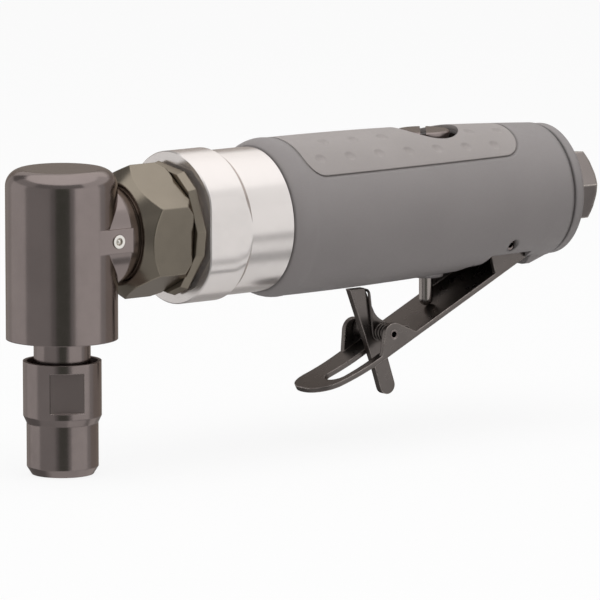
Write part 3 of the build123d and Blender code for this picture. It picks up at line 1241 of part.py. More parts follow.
def pieces():
    made = {
        "angle_head": angle_head(),
        "grease_fitting": grease_fitting(),
        "upper_spindle_bearing": bearing_on_z(SMALL_BEARING, UPPER_BEARING_Z),
        "lower_spindle_bearing": bearing_on_z(LARGE_BEARING, LOWER_BEARING_Z),
        "bearing_retainer": bearing_retainer(),
        "pinion_bearing": bearing_on_x(SMALL_BEARING, PINION_BEARING_X),
        "pinion_clip": pinion_clip(),
        "coupling_nut": coupling_nut(),
        "coupling_clip": coupling_clip(),
        "jam_ring": jam_ring(),
        "front_adapter": front_adapter(),
        "motor_housing": motor_housing(),
        "front_end_plate": front_end_plate(),
        "front_rotor_bearing": bearing_on_x(SMALL_BEARING, PLATE_FRONT),
        "motor_cylinder": motor_cylinder(),
        "cylinder_dowel": cylinder_dowel(),
        "rear_end_plate": rear_end_plate(),
        "rear_rotor_bearing": bearing_on_x(SMALL_BEARING, CYLINDER_REAR + PLATE_WEB),
        "grip_sleeve": grip_sleeve(),
        "grip_panel": grip_panel(),
        "plunger_bushing": plunger_bushing(),
        "valve_seat": valve_seat(),
        "inlet_bushing": inlet_bushing(),
        "inlet_screen": inlet_screen(),
        "muffler": muffler(),
        "lever_pin": lever_pin(),
        "spindle": spindle(),
        "bevel_gear": bevel_gear(),
        "collet": collet(),
        "collet_nut": collet_nut(),
        "rotor": rotor(),
        "bevel_pinion": bevel_pinion(),
        "drive_coupling": drive_coupling(),
        "throttle_lever": throttle_lever(),
        "lock_pin": lock_pin(),
        "lock_lever": lock_lever(),
        "lock_spring": lock_spring(),
        "throttle_plunger": throttle_plunger(),
        "throttle_valve": throttle_valve(),
        "valve_spring": valve_spring(),
        "air_regulator": air_regulator(),
        "exhaust_deflector": exhaust_deflector(),
    }
    for count in range(VANES):
        made[f"vane_{count + 1}"] = vane(count)
    return made


os.makedirs("parts", exist_ok=True)
for name, piece in pieces().items():
    export_step(Pos(0, 0, -NOSE_Z) * piece, f"parts/{name}.step")
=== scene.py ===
import json
import math

import bmesh
import bpy
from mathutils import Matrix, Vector


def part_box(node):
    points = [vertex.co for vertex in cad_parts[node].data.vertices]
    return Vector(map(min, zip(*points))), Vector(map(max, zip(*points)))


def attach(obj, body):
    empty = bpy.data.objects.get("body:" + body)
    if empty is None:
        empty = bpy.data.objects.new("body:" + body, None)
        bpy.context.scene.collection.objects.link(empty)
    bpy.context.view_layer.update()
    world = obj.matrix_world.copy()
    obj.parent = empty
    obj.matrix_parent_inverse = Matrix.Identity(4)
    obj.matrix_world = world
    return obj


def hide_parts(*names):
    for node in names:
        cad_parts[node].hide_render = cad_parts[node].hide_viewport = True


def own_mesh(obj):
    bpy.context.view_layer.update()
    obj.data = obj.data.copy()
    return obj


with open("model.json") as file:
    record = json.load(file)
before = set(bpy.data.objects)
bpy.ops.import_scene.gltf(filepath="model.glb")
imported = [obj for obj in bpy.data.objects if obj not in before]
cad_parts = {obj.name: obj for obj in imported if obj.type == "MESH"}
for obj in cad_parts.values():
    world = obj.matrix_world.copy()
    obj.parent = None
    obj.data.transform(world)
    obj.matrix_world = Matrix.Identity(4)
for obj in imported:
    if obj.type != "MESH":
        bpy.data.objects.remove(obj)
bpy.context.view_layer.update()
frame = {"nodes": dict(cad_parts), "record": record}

nodes = frame["nodes"]
scene = bpy.context.scene
AXIS_Z = 0.06              # height of the motor axis; all lengths are in metres


# Camera: a long lens from the front left, a little above the tool

CAMERA_PLACE = (-1.35034, -1.93896, 0.40580)
CAMERA_TURN = (math.radians(81.299), 0.0, math.radians(-36.3165))
CAMERA_ROLL = math.radians(-0.1)
CAMERA_LENS = 566.28
CAMERA_SENSOR = 36.0
CAMERA_NEAR = 0.1
CAMERA_FAR = 50.0

camera_data = bpy.data.cameras.new("camera")
camera_data.sensor_width = CAMERA_SENSOR
camera_data.lens = CAMERA_LENS
camera_data.clip_start = CAMERA_NEAR
camera_data.clip_end = CAMERA_FAR
camera = bpy.data.objects.new("camera", camera_data)
camera.location = CAMERA_PLACE
camera.rotation_euler = CAMERA_TURN
camera.rotation_euler.rotate_axis("Z", CAMERA_ROLL)
scene.collection.objects.link(camera)
scene.camera = camera
scene.view_settings.view_transform = "Standard"


# Node helpers

class Graph:
    """The nodes of a material or of the world, with short calls to add and join them."""

    def __init__(self, owner):
        self.owner = owner
        owner.use_nodes = True
        self.tree = owner.node_tree
        self.tree.nodes.clear()

    def add(self, kind, **settings):
        node = self.tree.nodes.new(kind)
        for key, value in settings.items():
            setattr(node, key, value)
        return node

    def join(self, source, target):
        self.tree.links.new(source, target)

    def place(self, scale=(1.0, 1.0, 1.0)):
        """Object coordinates in metres, stretched by scale."""
        coordinates = self.add("ShaderNodeTexCoord")
        mapping = self.add("ShaderNodeMapping")
        mapping.inputs["Scale"].default_value = scale
        self.join(coordinates.outputs["Object"], mapping.inputs["Vector"])
        return mapping.outputs["Vector"]

    def axes(self):
        """Outputs X, Y and Z of the place."""
        split = self.add("ShaderNodeSeparateXYZ")
        self.join(self.place(), split.inputs["Vector"])
        return split.outputs

    def noise(self, scale, detail=3.0, stretch=(1.0, 1.0, 1.0)):
        node = self.add("ShaderNodeTexNoise")
        node.inputs["Scale"].default_value = scale
        node.inputs["Detail"].default_value = detail
        self.join(self.place(stretch), node.inputs["Vector"])
        return node.outputs["Fac"]

    def span(self, value, low, high, start=0.3, end=0.7):
        """Maps a noise value onto a range."""
        node = self.add("ShaderNodeMapRange")
        node.inputs["From Min"].default_value = start
        node.inputs["From Max"].default_value = end
        node.inputs["To Min"].default_value = low
        node.inputs["To Max"].default_value = high
        self.join(value, node.inputs["Value"])
        return node.outputs["Result"]

    def tint(self, value, dark, light, start=0.3, end=0.7):
        """Maps a noise value onto a range of colours."""
        node = self.add("ShaderNodeValToRGB")
        node.color_ramp.elements[0].position = start
        node.color_ramp.elements[0].color = (*dark, 1.0)
        node.color_ramp.elements[1].position = end
        node.color_ramp.elements[1].color = (*light, 1.0)
        self.join(value, node.inputs["Fac"])
        return node.outputs["Color"]

    def mix(self, factor, first, second):
        """An output's colour and a fixed one, mixed by an output."""
        node = self.add("ShaderNodeMix", data_type="RGBA")
        self.join(factor, node.inputs["Factor"])
        self.join(first, node.inputs[6])
        node.inputs[7].default_value = (*second, 1.0)
        return node.outputs[2]

    def bump(self, height, strength, distance, under):
        node = self.add("ShaderNodeBump")
        node.inputs["Strength"].default_value = strength
        node.inputs["Distance"].default_value = distance
        self.join(height, node.inputs["Height"])
        self.join(under, node.inputs["Normal"])
        return node.outputs["Normal"]

    def rounding(self, radius):
        """Normals that turn softly over sharp edges."""
        node = self.add("ShaderNodeBevel", samples=EDGE_SAMPLES)
        node.inputs["Radius"].default_value = radius
        return node.outputs["Normal"]

    def edges(self, soft, start=0.03, end=0.12):
        """1 along sharp edges and 0 on faces."""
        plain = self.add("ShaderNodeNewGeometry")
        dot = self.add("ShaderNodeVectorMath", operation="DOT_PRODUCT")
        self.join(soft, dot.inputs[0])
        self.join(plain.outputs["Normal"], dot.inputs[1])
        return self.span(dot.outputs["Value"], 1.0, 0.0, 1.0 - end, 1.0 - start)

    def calc(self, operation, first, second):
        """Arithmetic on an output and a number, or on two outputs."""
        node = self.add("ShaderNodeMath", operation=operation)
        self.join(first, node.inputs[0])
        if isinstance(second, float):
            node.inputs[1].default_value = second
        else:
            self.join(second, node.inputs[1])
        return node.outputs["Value"]

    def inside_radius(self, radius, low, value, otherwise):
        """A value for points nearer the spindle axis than radius and above low, as on milled flats."""
        across = self.add("ShaderNodeVectorMath", operation="LENGTH")
        self.join(self.place((1.0, 1.0, 0.0)), across.inputs[0])
        near = self.calc("LESS_THAN", across.outputs["Value"], radius)
        above = self.calc("GREATER_THAN", self.axes()["Z"], low)
        node = self.add("ShaderNodeMix", data_type="FLOAT")
        self.join(self.calc("MULTIPLY", near, above), node.inputs["Factor"])
        self.join(otherwise, node.inputs[2])
        node.inputs[3].default_value = value
        return node.outputs[0]

    def direct_ray(self):
        """1 for rays from the camera, off a mirror or through glass."""
        path = self.add("ShaderNodeLightPath")
        seen = path.outputs["Is Camera Ray"]
        for kind in ("Is Glossy Ray", "Is Transmission Ray"):
            seen = self.calc("MAXIMUM", seen, path.outputs[kind])
        return seen

    def surface(self, shader):
        output = self.add("ShaderNodeOutputMaterial")
        self.join(shader, output.inputs["Surface"])
        return self.owner

    def finish(self, color, roughness, normal, **constants):
        shader = self.add("ShaderNodeBsdfPrincipled")
        for key, value in constants.items():
            shader.inputs[key.replace("_", " ")].default_value = value
        self.join(color, shader.inputs["Base Color"])
        self.join(roughness, shader.inputs["Roughness"])
        self.join(normal, shader.inputs["Normal"])
        return self.surface(shader.outputs["BSDF"])


def material_graph(name):
    return Graph(bpy.data.materials.new(name))


def shade(color, level):
    return tuple(level * value for value in color)


# Looks. A noise's scale is in waves a metre.

CAST = (0.13, 0.115, 0.108)
CAST_START = 0.072         # behind this the housing is left as cast
METAL_CLOUDS = 90.0
METAL_SMEARS = 420.0
METAL_SCUFFS = 900.0
METAL_GRAIN = 2600.0
METAL_RELIEF = 0.000004
SCUFF_LEAST = 0.35
EDGE_SAMPLES = 8
GRAIN_STRENGTH = 0.3
LINE_STRENGTH = 0.25
MILLED_ROUGHNESS = 0.5
GRAZING_TINT = (0.8, 0.76, 0.73)
RUBBER_CLOUDS = 60.0
RUBBER_SMEARS = 900.0
RUBBER_PEBBLES = 3800.0
RUBBER_SPECKLES = 5200.0
PEBBLE_STRENGTH = 0.35
SPECKLE_LEVEL = 1.4
SPECKLE_BAND = (0.45, 0.75)
# painted shade: how dark and how wide the rubber's edges, seams and gaps are darkened
SEAM_SHADE_LEVEL = 0.45
SEAM_SHADE_BAND = (0.02, 0.18)
RUBBER_GLOSS = 0.35


def cloudy(graph, color, scale, cloud):
    return graph.tint(graph.noise(scale), shade(color, 1.0 - cloud), shade(color, 1.0 + cloud))


def metal(name, color, rough, lines=None, wear_and_highlight=None, metallic=1.0, edge=0.0003, cloud=0.05, milled=None,
          dull=None, grazing=1.0):
    """A plated or blackened metal: faint clouds, fine grain, marks along lines, brighter edges that are worn
    and partly painted edge highlights.
    """
    graph = material_graph(name)
    base = cloudy(graph, color, METAL_CLOUDS, cloud)
    soft = graph.rounding(edge)
    if dull is not None:
        base = graph.mix(graph.calc("GREATER_THAN", graph.axes()["X"], dull), base, CAST)
    # brighter edges: wear, and partly painted edge highlights
    if wear_and_highlight is not None:
        scuffs = graph.span(graph.noise(METAL_SCUFFS), SCUFF_LEAST, 1.0)
        base = graph.mix(graph.calc("MULTIPLY", graph.edges(soft), scuffs), base, wear_and_highlight)
    roughness = graph.span(graph.noise(METAL_SMEARS), *rough)
    if milled is not None:
        roughness = graph.inside_radius(*milled, MILLED_ROUGHNESS, roughness)
    normal = graph.bump(graph.noise(METAL_GRAIN, 2.0), GRAIN_STRENGTH, METAL_RELIEF, soft)
    if lines is not None:
        normal = graph.bump(graph.noise(1.0, 2.0, lines), LINE_STRENGTH, METAL_RELIEF, normal)
    tint = (*shade(GRAZING_TINT, grazing), 1.0)
    return graph.finish(base, roughness, normal, Metallic=metallic, Specular_Tint=tint)


def soft_rubber(name, color, rough, cloud=0.03, speckle=0.14, pebble=0.00004, edge=0.0008, seam=0.5):
    """Moulded soft-touch rubber: even tone, fine speckle, painted shade along its edges, seams and gaps, and
    a pebbled skin.
    """
    graph = material_graph(name)
    soft = graph.rounding(edge)
    base = cloudy(graph, color, RUBBER_CLOUDS, cloud)
    dots = graph.span(graph.noise(RUBBER_SPECKLES, 2.0), 0.0, speckle, *SPECKLE_BAND)
    base = graph.mix(dots, base, shade(color, SPECKLE_LEVEL))
    # painted shade: the base darkens along edges, grooves and gaps between parts, as strongly as seam says
    shadow = graph.calc("MULTIPLY", graph.edges(soft, *SEAM_SHADE_BAND), seam)
    base = graph.mix(shadow, base, shade(color, SEAM_SHADE_LEVEL))
    roughness = graph.span(graph.noise(RUBBER_SMEARS), *rough)
    skin = graph.bump(graph.noise(RUBBER_PEBBLES), PEBBLE_STRENGTH, pebble, soft)
    return graph.finish(base, roughness, skin, Specular_IOR_Level=RUBBER_GLOSS)


ALONG_X = (5200.0, 14.0, 14.0)     # turning lines round an axis along X
ALONG_Z = (14.0, 14.0, 5200.0)
WARM_DARK = (0.265, 0.222, 0.212)
OLIVE = (0.264, 0.229, 0.184)
SATIN = (0.172, 0.152, 0.142)
NICKEL = (0.36, 0.325, 0.305)
ALLOY = (0.83, 0.781, 0.757)
GROUND = (0.55, 0.55, 0.56)
BRONZE = (0.54, 0.4, 0.2)
GRIP = (0.315, 0.289, 0.285)
PANEL = (0.394, 0.357, 0.344)
LAMINATE = (0.23, 0.12, 0.05)
FELT = (0.56, 0.54, 0.52)
PLATING = (0.82, 0.79, 0.74)
# edge colours: worn edges that are partly painted edge highlights
PLATING_WEAR_AND_HIGHLIGHT = (0.95, 0.93, 0.9)
INLET = (0.27, 0.238, 0.226)
INLET_WEAR_AND_HIGHLIGHT = (0.9, 0.83, 0.76)
NUT_FLATS = (0.00992, 0.0152)      # radius that the nut's flats lie within, and their lower end

# each metal's edge colour is wear and partly painted edge highlight
looks = {
    "head": metal("gunmetal", WARM_DARK, (0.16, 0.2), wear_and_highlight=shade(WARM_DARK, 1.25)),
    "dark_steel": metal("black_oxide", WARM_DARK, (0.17, 0.22), ALONG_Z, shade(WARM_DARK, 1.5)),
    "bronze_steel": metal("bronzed_steel", OLIVE, (0.17, 0.22), ALONG_X, shade(OLIVE, 1.3), edge=0.0006),
    "bright_alloy": metal(
        "polished_alloy", ALLOY, (0.19, 0.24), ALONG_X, metallic=0.8, edge=0.0, cloud=0.015,
    ),
    "housing_alloy": metal(
        "turned_alloy", ALLOY, (0.19, 0.24), ALONG_X, metallic=0.8, edge=0.0, cloud=0.015, dull=CAST_START,
    ),
    "lever": metal(
        "satin_sheet", SATIN, (0.26, 0.32), wear_and_highlight=shade(SATIN, 3.0), metallic=0.9, edge=0.0006, grazing=0.4,
    ),
    "nickel": metal("nickel", NICKEL, (0.2, 0.26), ALONG_X, shade(NICKEL, 1.5), edge=0.0004),
    "inner_steel": metal("ground_steel", GROUND, (0.25, 0.32), ALONG_X),
    "bronze": metal("bronze", BRONZE, (0.3, 0.38), ALONG_Z),
    # seam sets each rubber's painted shade along its edges, grooves and gaps
    "grip": soft_rubber("grip_rubber", GRIP, (0.5, 0.62), edge=0.0015),
    "panel": soft_rubber("panel_rubber", PANEL, (0.48, 0.6), edge=0.0005, seam=0.2),
    "deflector": soft_rubber("deflector_plastic", shade(GRIP, 0.97), (0.45, 0.56), edge=0.0014, seam=0.7),
    "vane": soft_rubber("laminate", LAMINATE, (0.5, 0.6), cloud=0.12),
    "felt": soft_rubber("felt", FELT, (0.85, 0.95), cloud=0.08, speckle=0.3, pebble=0.0002),
}
plated = metal("bright_plating", PLATING, (0.15, 0.2), wear_and_highlight=PLATING_WEAR_AND_HIGHLIGHT, edge=0.0002)
inlet_steel = metal("inlet_steel", INLET, (0.2, 0.26), ALONG_X, INLET_WEAR_AND_HIGHLIGHT, edge=0.001)
jam_steel = metal("jam_steel", shade(OLIVE, 1.12), (0.34, 0.42), ALONG_X, shade(OLIVE, 1.6), edge=0.0004)
milled_steel = metal(
    "milled_steel", WARM_DARK, (0.17, 0.22), wear_and_highlight=shade(WARM_DARK, 1.5), milled=NUT_FLATS,
)

slot_of = {row["node"]: row["material_slot"] for row in frame["record"]["subparts"]}
own_looks = {
    "lock_spring": looks["lever"], "grease_fitting": plated, "inlet_bushing": inlet_steel,
    "collet_nut": milled_steel, "plunger_bushing": looks["grip"], "jam_ring": jam_steel,
}
for name, node in nodes.items():
    node.data.materials.clear()
    node.data.materials.append(own_looks.get(name, looks[slot_of[name]]))


# Mesh helpers

def about_motor(along, radius, angle):
    """A point at a radius and an angle about the motor axis."""
    return along, radius * math.cos(angle), AXIS_Z + radius * math.sin(angle)


def outwards(place):
    """The way from the motor axis to a point."""
    return Vector((0.0, place.y, place.z - AXIS_Z)).normalized()


def add_object(name, mesh, look):
    mesh.materials.append(look)
    piece = bpy.data.objects.new(name, mesh)
    scene.collection.objects.link(piece)
    return piece


def shape_mesh(name, shape):
    bmesh.ops.recalc_face_normals(shape, faces=shape.faces)
    mesh = bpy.data.meshes.new(name)
    shape.to_mesh(mesh)
    shape.free()
    return mesh


def ring_mesh(name, loops, smooth):
    """A closed ring: each loop of points is joined to the next, and the last to the first."""
    shape = bmesh.new()
    rings = [[shape.verts.new(point) for point in loop] for loop in loops]
    for first, second in zip(rings, rings[1:] + rings[:1]):
        for step in range(len(first)):
            after = (step + 1) % len(first)
            shape.faces.new((first[step], first[after], second[after], second[step])).smooth = smooth
    return shape_mesh(name, shape)


def swept_mesh(name, sections, turned=False):
    """A closed bar: each section is joined to the next, with a face across both ends.

    Sections run clockwise as seen along the path, or the other way where turned is set.
    """
    sides = len(sections[0])
    last = sides * (len(sections) - 1)
    faces = [tuple(reversed(range(sides)))]
    for base in range(0, last, sides):
        for side in range(sides):
            start = base + side
            after = base + (side + 1) % sides
            faces.append((start, after, after + sides, start + sides))
    faces.append(tuple(range(last, last + sides)))
    if turned:
        faces = [(face[0], *reversed(face[1:])) for face in faces]
    mesh = bpy.data.meshes.new(name)
    mesh.from_pydata([point for section in sections for point in section], [], faces)
    return mesh


# Front adapter: its collar has two flats with soft edges, which run out upwards to the ring behind it

ADAPTER_BORE = 0.0115
ADAPTER_NOSE = 0.014
ADAPTER_SPIGOT = 0.01498
COLLAR_RADIUS = 0.01965
COLLAR_FACE = 0.0139       # from the collar's front face to the housing
COLLAR_EDGE = 0.0003
COLLAR_END = 0.0109        # from the face to the short chamfer
COLLAR_STEPS = 240
COLLAR_SHARP = math.radians(32)
RING_START = 0.0124        # from the face to the chamfer's end
RING_MARGIN = 0.0001
RING_RADIUS = 0.0187
FLAT_HEIGHT = 0.01765      # from the motor axis to a flat
FLAT_END = 0.0086
FLAT_SOFTNESS = 0.0013
LEAST_COSINE = 0.1         # keeps a flat's radius finite at its ends
LEAST_SOFTNESS = 1e-9


def slide(value, start, end):
    """How far a value is from start to end, from 0 to 1."""
    return min(max((value - start) / (end - start), 0.0), 1.0)


def stations(start, end, count):
    """Even steps after start, up to end."""
    return [start + (end - start) * step / count for step in range(1, count + 1)]


def collar_radius(along, angle):
    """Radius of the collar at a distance behind its face and an angle about the motor axis."""
    if along > RING_START:
        return RING_RADIUS
    bevel = COLLAR_EDGE * (1.0 - slide(along, 0.0, COLLAR_EDGE))
    round_part = COLLAR_RADIUS + (RING_RADIUS - COLLAR_RADIUS) * slide(along, COLLAR_END, RING_START)
    runout = slide(along, FLAT_END, RING_START)
    height = FLAT_HEIGHT + (RING_RADIUS - FLAT_HEIGHT) * runout
    flat_part = height / max(abs(math.cos(angle)), LEAST_COSINE)
    softness = FLAT_SOFTNESS * (1.0 - runout * runout) + LEAST_SOFTNESS
    overlap = max(softness - abs(round_part - flat_part), 0.0) / softness
    return min(round_part, flat_part) - softness * overlap * overlap / 4 - bevel


def front_adapter():
    low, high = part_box("front_adapter")
    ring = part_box("motor_housing")[0][0]
    face = ring - COLLAR_FACE
    turns = [2 * math.pi * step / COLLAR_STEPS for step in range(COLLAR_STEPS)]
    behind_face = [
        0.0, COLLAR_EDGE, *stations(COLLAR_EDGE, FLAT_END, 8), *stations(FLAT_END, COLLAR_END, 6),
        *stations(COLLAR_END, RING_START, 6), RING_START + RING_MARGIN, COLLAR_FACE,
    ]
    collar = [
        [about_motor(face + along, collar_radius(along, angle), angle) for angle in turns]
        for along in behind_face
    ]
    nose, tail = [
        [[about_motor(along, radius, angle) for angle in turns] for along, radius in corners]
        for corners in (
            ((low[0], ADAPTER_BORE), (low[0], ADAPTER_NOSE), (face, ADAPTER_NOSE)),
            ((ring, ADAPTER_SPIGOT), (high[0], ADAPTER_SPIGOT), (high[0], ADAPTER_BORE)),
        )
    ]
    mesh = ring_mesh("adapter_collar", nose + collar + tail, True)
    mesh.set_sharp_from_angle(angle=COLLAR_SHARP)
    piece = add_object("adapter_collar", mesh, looks["bright_alloy"])
    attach(piece, "housing")
    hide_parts("front_adapter")


front_adapter()


# Jam ring: the CAD ring's outline, drawn forwards to the coupling nut with a slight taper

JAM_BORE = 0.01402
JAM_WALL = 0.001           # points this far outside the bore are on the outline
JAM_GAP = 0.0003           # to the nut
JAM_TAPER = 0.957          # size of the front end
JAM_SPLIT = 6
SAME_PLACE = 0.00001


def jam_nut():
    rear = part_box("jam_ring")[1][0]
    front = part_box("coupling_nut")[1][0] + JAM_GAP
    corners = {}
    for vertex in nodes["jam_ring"].data.vertices:
        place = (vertex.co.y, vertex.co.z - AXIS_Z)
        if vertex.co.x > rear - SAME_PLACE and math.hypot(*place) > JAM_BORE + JAM_WALL:
            corners[round(math.atan2(place[1], place[0]), 3)] = place
    corners = [corners[turn] for turn in sorted(corners)]
    outline = [
        tuple(start + (end - start) * step / JAM_SPLIT for start, end in zip(first, second))
        for first, second in zip(corners, corners[1:] + corners[:1]) for step in range(JAM_SPLIT)
    ]
    hole = [tuple(value * JAM_BORE / math.hypot(*place) for value in place) for place in outline]
    loops = [
        [(along, scale * y, AXIS_Z + scale * z) for y, z in points]
        for along, points, scale in (
            (front, hole, 1.0), (front, outline, JAM_TAPER), (rear, outline, 1.0), (rear, hole, 1.0),
        )
    ]
    piece = add_object("jam_nut", ring_mesh("jam_nut", loops, False), jam_steel)
    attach(piece, "housing")
    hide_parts("jam_ring")


jam_nut()


# Pipe thread inside the air inlet, from its mouth inwards

THREAD_RADIUS = 0.00572
THREAD_DEPTH = 0.0006
THREAD_PITCH = 0.00141
THREAD_FLANK = THREAD_PITCH / 2 - 0.0001
THREAD_CREST = 0.00008     # half the crest's width
THREAD_START = 0.0012      # from the inlet's mouth
THREAD_LEAST = 0.04        # share of the depth at the thread's ends
THREAD_TURNS = 7
THREAD_STEPS = 36


def inlet_thread():
    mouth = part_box("inlet_bushing")[1][0]
    last = THREAD_TURNS * THREAD_STEPS
    sections = []
    for step in range(last + 1):
        angle = 2 * math.pi * step / THREAD_STEPS
        along = mouth - THREAD_START - THREAD_PITCH * step / THREAD_STEPS
        fade = min(1.0, step / THREAD_STEPS, (last - step) / THREAD_STEPS)
        crest = THREAD_RADIUS - THREAD_DEPTH * max(fade, THREAD_LEAST)
        profile = (
            (-THREAD_FLANK, THREAD_RADIUS), (-THREAD_CREST, crest), (THREAD_CREST, crest),
            (THREAD_FLANK, THREAD_RADIUS),
        )
        sections.append([about_motor(along + offset, radius, angle) for offset, radius in profile])
    piece = add_object("inlet_thread", swept_mesh("inlet_thread", sections), looks["nickel"])
    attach(piece, "housing")


inlet_thread()


# Soft web across the gap around the grip's panel, so that the seam is a shallow groove

GROOVE_DEPTH = 0.0002
GROOVE_WIDTH = 0.0004
GROOVE_INSET = 0.00006
GROOVE_WEB = 0.0003
GROOVE_SHARP = math.radians(40)
TOP_FACING = 0.85          # a top face looks outwards at least this much
WALL_FACING = 0.75         # and a side wall at most this much
WALL_SLANT = 0.1           # most of a side wall's normal along Y
WELD = 0.000002
REGULATOR_PLACE = (0.11455, 0.0)
REGULATOR_ROOM = 0.0105


def panel_seam():
    """The edges along the panel's border, and each of their points with the normals of its side walls."""
    panel = bmesh.new()
    panel.from_mesh(nodes["grip_panel"].data)
    bmesh.ops.remove_doubles(panel, verts=panel.verts, dist=WELD)
    panel.normal_update()
    seam = []
    walls = {}
    for edge in panel.edges:
        if len(edge.link_faces) != 2:
            continue
        middle = (edge.verts[0].co + edge.verts[1].co) / 2
        if math.hypot(middle.x - REGULATOR_PLACE[0], middle.y - REGULATOR_PLACE[1]) < REGULATOR_ROOM:
            continue
        out = outwards(middle)
        for top, wall in (edge.link_faces, reversed(edge.link_faces)):
            upright = abs(wall.normal.y) < WALL_SLANT and wall.normal.dot(out) < WALL_FACING
            if top.normal.dot(out) > TOP_FACING and upright:
                seam.append(tuple(vertex.index for vertex in edge.verts))
                for vertex in edge.verts:
                    walls.setdefault(vertex.index, (vertex.co.copy(), []))[1].append(wall.normal.copy())
    panel.free()
    return seam, walls


def panel_groove():
    seam, walls = panel_seam()
    shape = bmesh.new()
    corners = {}
    for index, (place, normals) in walls.items():
        out = outwards(place)
        away = sum(normals, Vector()).normalized()
        inner = place - out * GROOVE_DEPTH - away * GROOVE_INSET
        outer = place - out * GROOVE_DEPTH + away * GROOVE_WIDTH
        below = out * GROOVE_WEB
        corners[index] = [shape.verts.new(point) for point in (inner, outer, outer - below, inner - below)]
    for first, second in seam:
        for side in range(4):
            after = (side + 1) % 4
            shape.faces.new((
                corners[first][side], corners[first][after], corners[second][after], corners[second][side],
            )).smooth = True
    mesh = shape_mesh("panel_groove", shape)
    mesh.set_sharp_from_angle(angle=GROOVE_SHARP)
    piece = add_object("panel_groove", mesh, looks["panel"])
    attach(piece, "housing")


panel_groove()


# Valve spring, inside the handle, drawn as a still coil between its ends; the real one closes up towards its
# fixed upper end as the plunger rises

SPRING_RADIUS = 0.0026
SPRING_WIRE = 0.00035
SPRING_TURNS = 6
SPRING_STEPS = 24
SPRING_SIDES = 8
SPRING_PLAY = 0.00003


def valve_coil():
    low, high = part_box("valve_spring")
    valve_low, valve_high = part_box("throttle_valve")
    middle = (valve_low[0] + valve_high[0]) / 2
    bottom = low[2] + SPRING_WIRE + SPRING_PLAY
    top = high[2] - SPRING_WIRE
    last = SPRING_TURNS * SPRING_STEPS
    sections = []
    for step in range(last + 1):
        turn = 2 * math.pi * step / SPRING_STEPS
        height = bottom + (top - bottom) * step / last
        section = []
        for side in range(SPRING_SIDES):
            around = 2 * math.pi * side / SPRING_SIDES
            radius = SPRING_RADIUS + SPRING_WIRE * math.cos(around)
            lift = SPRING_WIRE * math.sin(around)
            section.append((middle + radius * math.cos(turn), radius * math.sin(turn), height + lift))
        sections.append(section)
    mesh = swept_mesh("valve_coil", sections, turned=True)
    mesh.shade_smooth()
    piece = add_object("valve_coil", mesh, looks["inner_steel"])
    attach(piece, "housing")
    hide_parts("valve_spring")
    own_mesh(piece)


valve_coil()


# Stage: pale floor, white surroundings, soft light and grey cards for the metal to mirror

CENTRE = Vector((0.075, 0.0, 0.05))
FACING = math.atan2(CAMERA_PLACE[1] - CENTRE.y, CAMERA_PLACE[0] - CENTRE.x)
FLOOR_REACH = 12.0
FLOOR_DROP = 0.0002
FLOOR_LEVEL = 0.7          # as the light on the tool sees it
FLOOR_WHITE = 0.98         # as the camera sees it
FLOOR_GLOW = 0.88          # share of plain white in that, which keeps the shadow faint
WORLD_LEVEL = 0.58
WORLD_WHITE = 1.0
CARD_RADIUS = 2.0
CARD_FACET = 8             # degrees
LIGHT_PLACE = (0.0, -0.15, 1.2)
LIGHT_SIZE = 1.2
LIGHT_POWER = 8.0


def direct_level(graph, level, seen):
    """One number for rays that are seen, and another for light on the tool."""
    return graph.span(graph.direct_ray(), level, seen, 0.0, 1.0)


def pale_surface(name):
    """A pale surface that shows white to the camera and keeps part of the shadow on it."""
    graph = material_graph(name)
    diffuse = graph.add("ShaderNodeBsdfDiffuse")
    graph.join(direct_level(graph, FLOOR_LEVEL, FLOOR_WHITE), diffuse.inputs["Color"])
    white = graph.add("ShaderNodeEmission")
    white.inputs["Strength"].default_value = 1.0
    mix = graph.add("ShaderNodeMixShader")
    graph.join(graph.calc("MULTIPLY", graph.direct_ray(), FLOOR_GLOW), mix.inputs["Fac"])
    graph.join(diffuse.outputs["BSDF"], mix.inputs[1])
    graph.join(white.outputs["Emission"], mix.inputs[2])
    return graph.surface(mix.outputs["Shader"])


def glow_surface(name, level, tint):
    graph = material_graph(name)
    light = graph.add("ShaderNodeEmission")
    light.inputs["Color"].default_value = (*tint, 1.0)
    light.inputs["Strength"].default_value = level
    return graph.surface(light.outputs["Emission"])


def stage_object(name, points, faces, look):
    mesh = bpy.data.meshes.new(name)
    mesh.from_pydata(points, [], faces)
    piece = add_object(name, mesh, look)
    return piece


def card(name, sides, heights, level, tint=(1.0, 1.0, 1.0)):
    """A patch of a grey dome that only reflections see; degrees right of the camera and above the horizon."""
    across = max(2, int((sides[1] - sides[0]) / CARD_FACET))
    up = max(2, int((heights[1] - heights[0]) / CARD_FACET))
    points = []
    for row in range(up + 1):
        lift = math.radians(heights[0] + (heights[1] - heights[0]) * row / up)
        for step in range(across + 1):
            turn = FACING + math.radians(sides[0] + (sides[1] - sides[0]) * step / across)
            way = Vector((math.cos(turn) * math.cos(lift), math.sin(turn) * math.cos(lift), math.sin(lift)))
            points.append(tuple(CENTRE + way * CARD_RADIUS))
    width = across + 1
    faces = [
        (row * width + step, row * width + step + 1, (row + 1) * width + step + 1, (row + 1) * width + step)
        for row in range(up) for step in range(across)
    ]
    piece = stage_object(name, points, faces, glow_surface(name, level, tint))
    piece.visible_camera = False
    piece.visible_diffuse = False
    piece.visible_shadow = False
    piece.visible_transmission = False


floor = stage_object(
    "floor",
    [(FLOOR_REACH * x, FLOOR_REACH * y, -FLOOR_DROP) for x, y in ((-1, -1), (1, -1), (1, 1), (-1, 1))],
    [(0, 1, 2, 3)], pale_surface("pale_floor"),
)
floor.visible_glossy = False

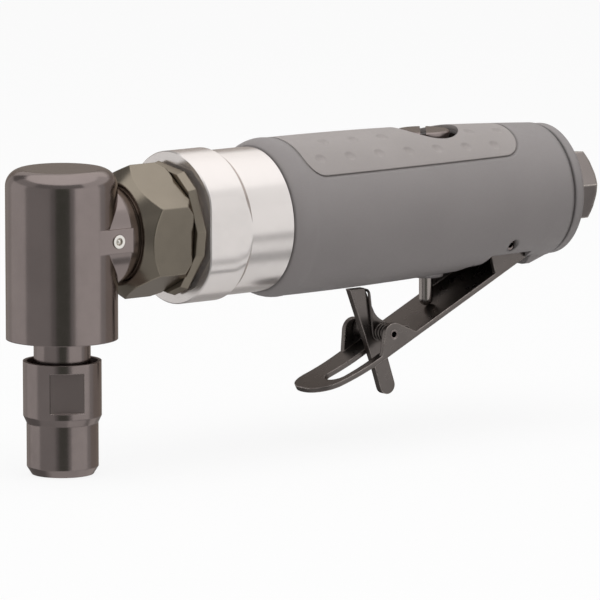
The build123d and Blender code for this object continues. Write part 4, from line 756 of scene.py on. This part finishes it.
LEVEL = (-13, 22)
HIGH = (22, 46)
LOW = (-30, -13)
DEEP = (-62, -30)
OLIVE_TINT = (0.95, 1.05, 0.9)
WARM_TINT = (1.0, 0.92, 0.85)
card("level_back_left", (-180, -150), LEVEL, 0.38, WARM_TINT)
card("level_far_left", (-150, -122), LEVEL, 0.6)
card("level_soft_left", (-122, -76), LEVEL, 0.78)
card("level_left", (-76, -22), LEVEL, 0.42)
card("level_fade_left", (-22, -12), LEVEL, 0.26)
card("level_camera", (-12, 17), LEVEL, 0.125, OLIVE_TINT)
card("level_fade_right", (17, 27), LEVEL, 0.37)
card("level_soft_right", (27, 86), LEVEL, 0.92)
card("level_edge", (86, 102), LEVEL, 0.5)
card("level_right", (102, 150), LEVEL, 0.4, WARM_TINT)
card("level_back_right", (150, 180), LEVEL, 0.38, WARM_TINT)
card("high_back_left", (-180, -146), HIGH, 0.8)
card("high_far_left", (-146, -118), HIGH, 0.25)
card("high_left", (-118, -60), HIGH, 0.5)
card("high_camera", (-60, 50), HIGH, 0.3)
card("high_right", (50, 140), HIGH, 0.87)
card("rise_back", (140, 180), (22, 27), 0.7)
card("high_back", (140, 180), (27, 46), 1.15)
card("cap", (-180, 180), (46, 90), 1.22)
card("low_far_left", (-180, -90), LOW, 0.25)
card("low_left", (-90, -20), LOW, 0.5)
card("low_camera", (-20, 20), LOW, 0.2)
card("low_right", (20, 110), (-22, -13), 0.45)
card("low_soft_right", (20, 110), (-36, -22), 0.8)
card("low_back", (110, 180), LOW, 0.45)
card("deep_far_left", (-180, -90), DEEP, 0.25)
card("deep_left", (-90, 20), DEEP, 0.42)
card("steep_right", (20, 110), (-62, -47), 0.78)
card("deep_right", (20, 110), (-47, -36), 0.34)
card("deep_far", (110, 162), DEEP, 0.76)
card("deep_back", (162, 180), DEEP, 0.36)
card("base", (-180, 180), (-90, -62), 0.7)

scene.world = bpy.data.worlds.new("surroundings")
sky = Graph(scene.world)
background = sky.add("ShaderNodeBackground")
sky.join(direct_level(sky, WORLD_LEVEL, WORLD_WHITE), background.inputs["Strength"])
world_output = sky.add("ShaderNodeOutputWorld")
sky.join(background.outputs["Background"], world_output.inputs["Surface"])

light_data = bpy.data.lights.new("light_top", "AREA")
light_data.shape = "SQUARE"
light_data.size = LIGHT_SIZE
light_data.energy = LIGHT_POWER
light = bpy.data.objects.new("light_top", light_data)
light.location = LIGHT_PLACE
light.rotation_mode = "QUATERNION"
light.rotation_quaternion = (CENTRE - Vector(LIGHT_PLACE)).to_track_quat("-Z", "Y")
light.visible_glossy = False
scene.collection.objects.link(light)
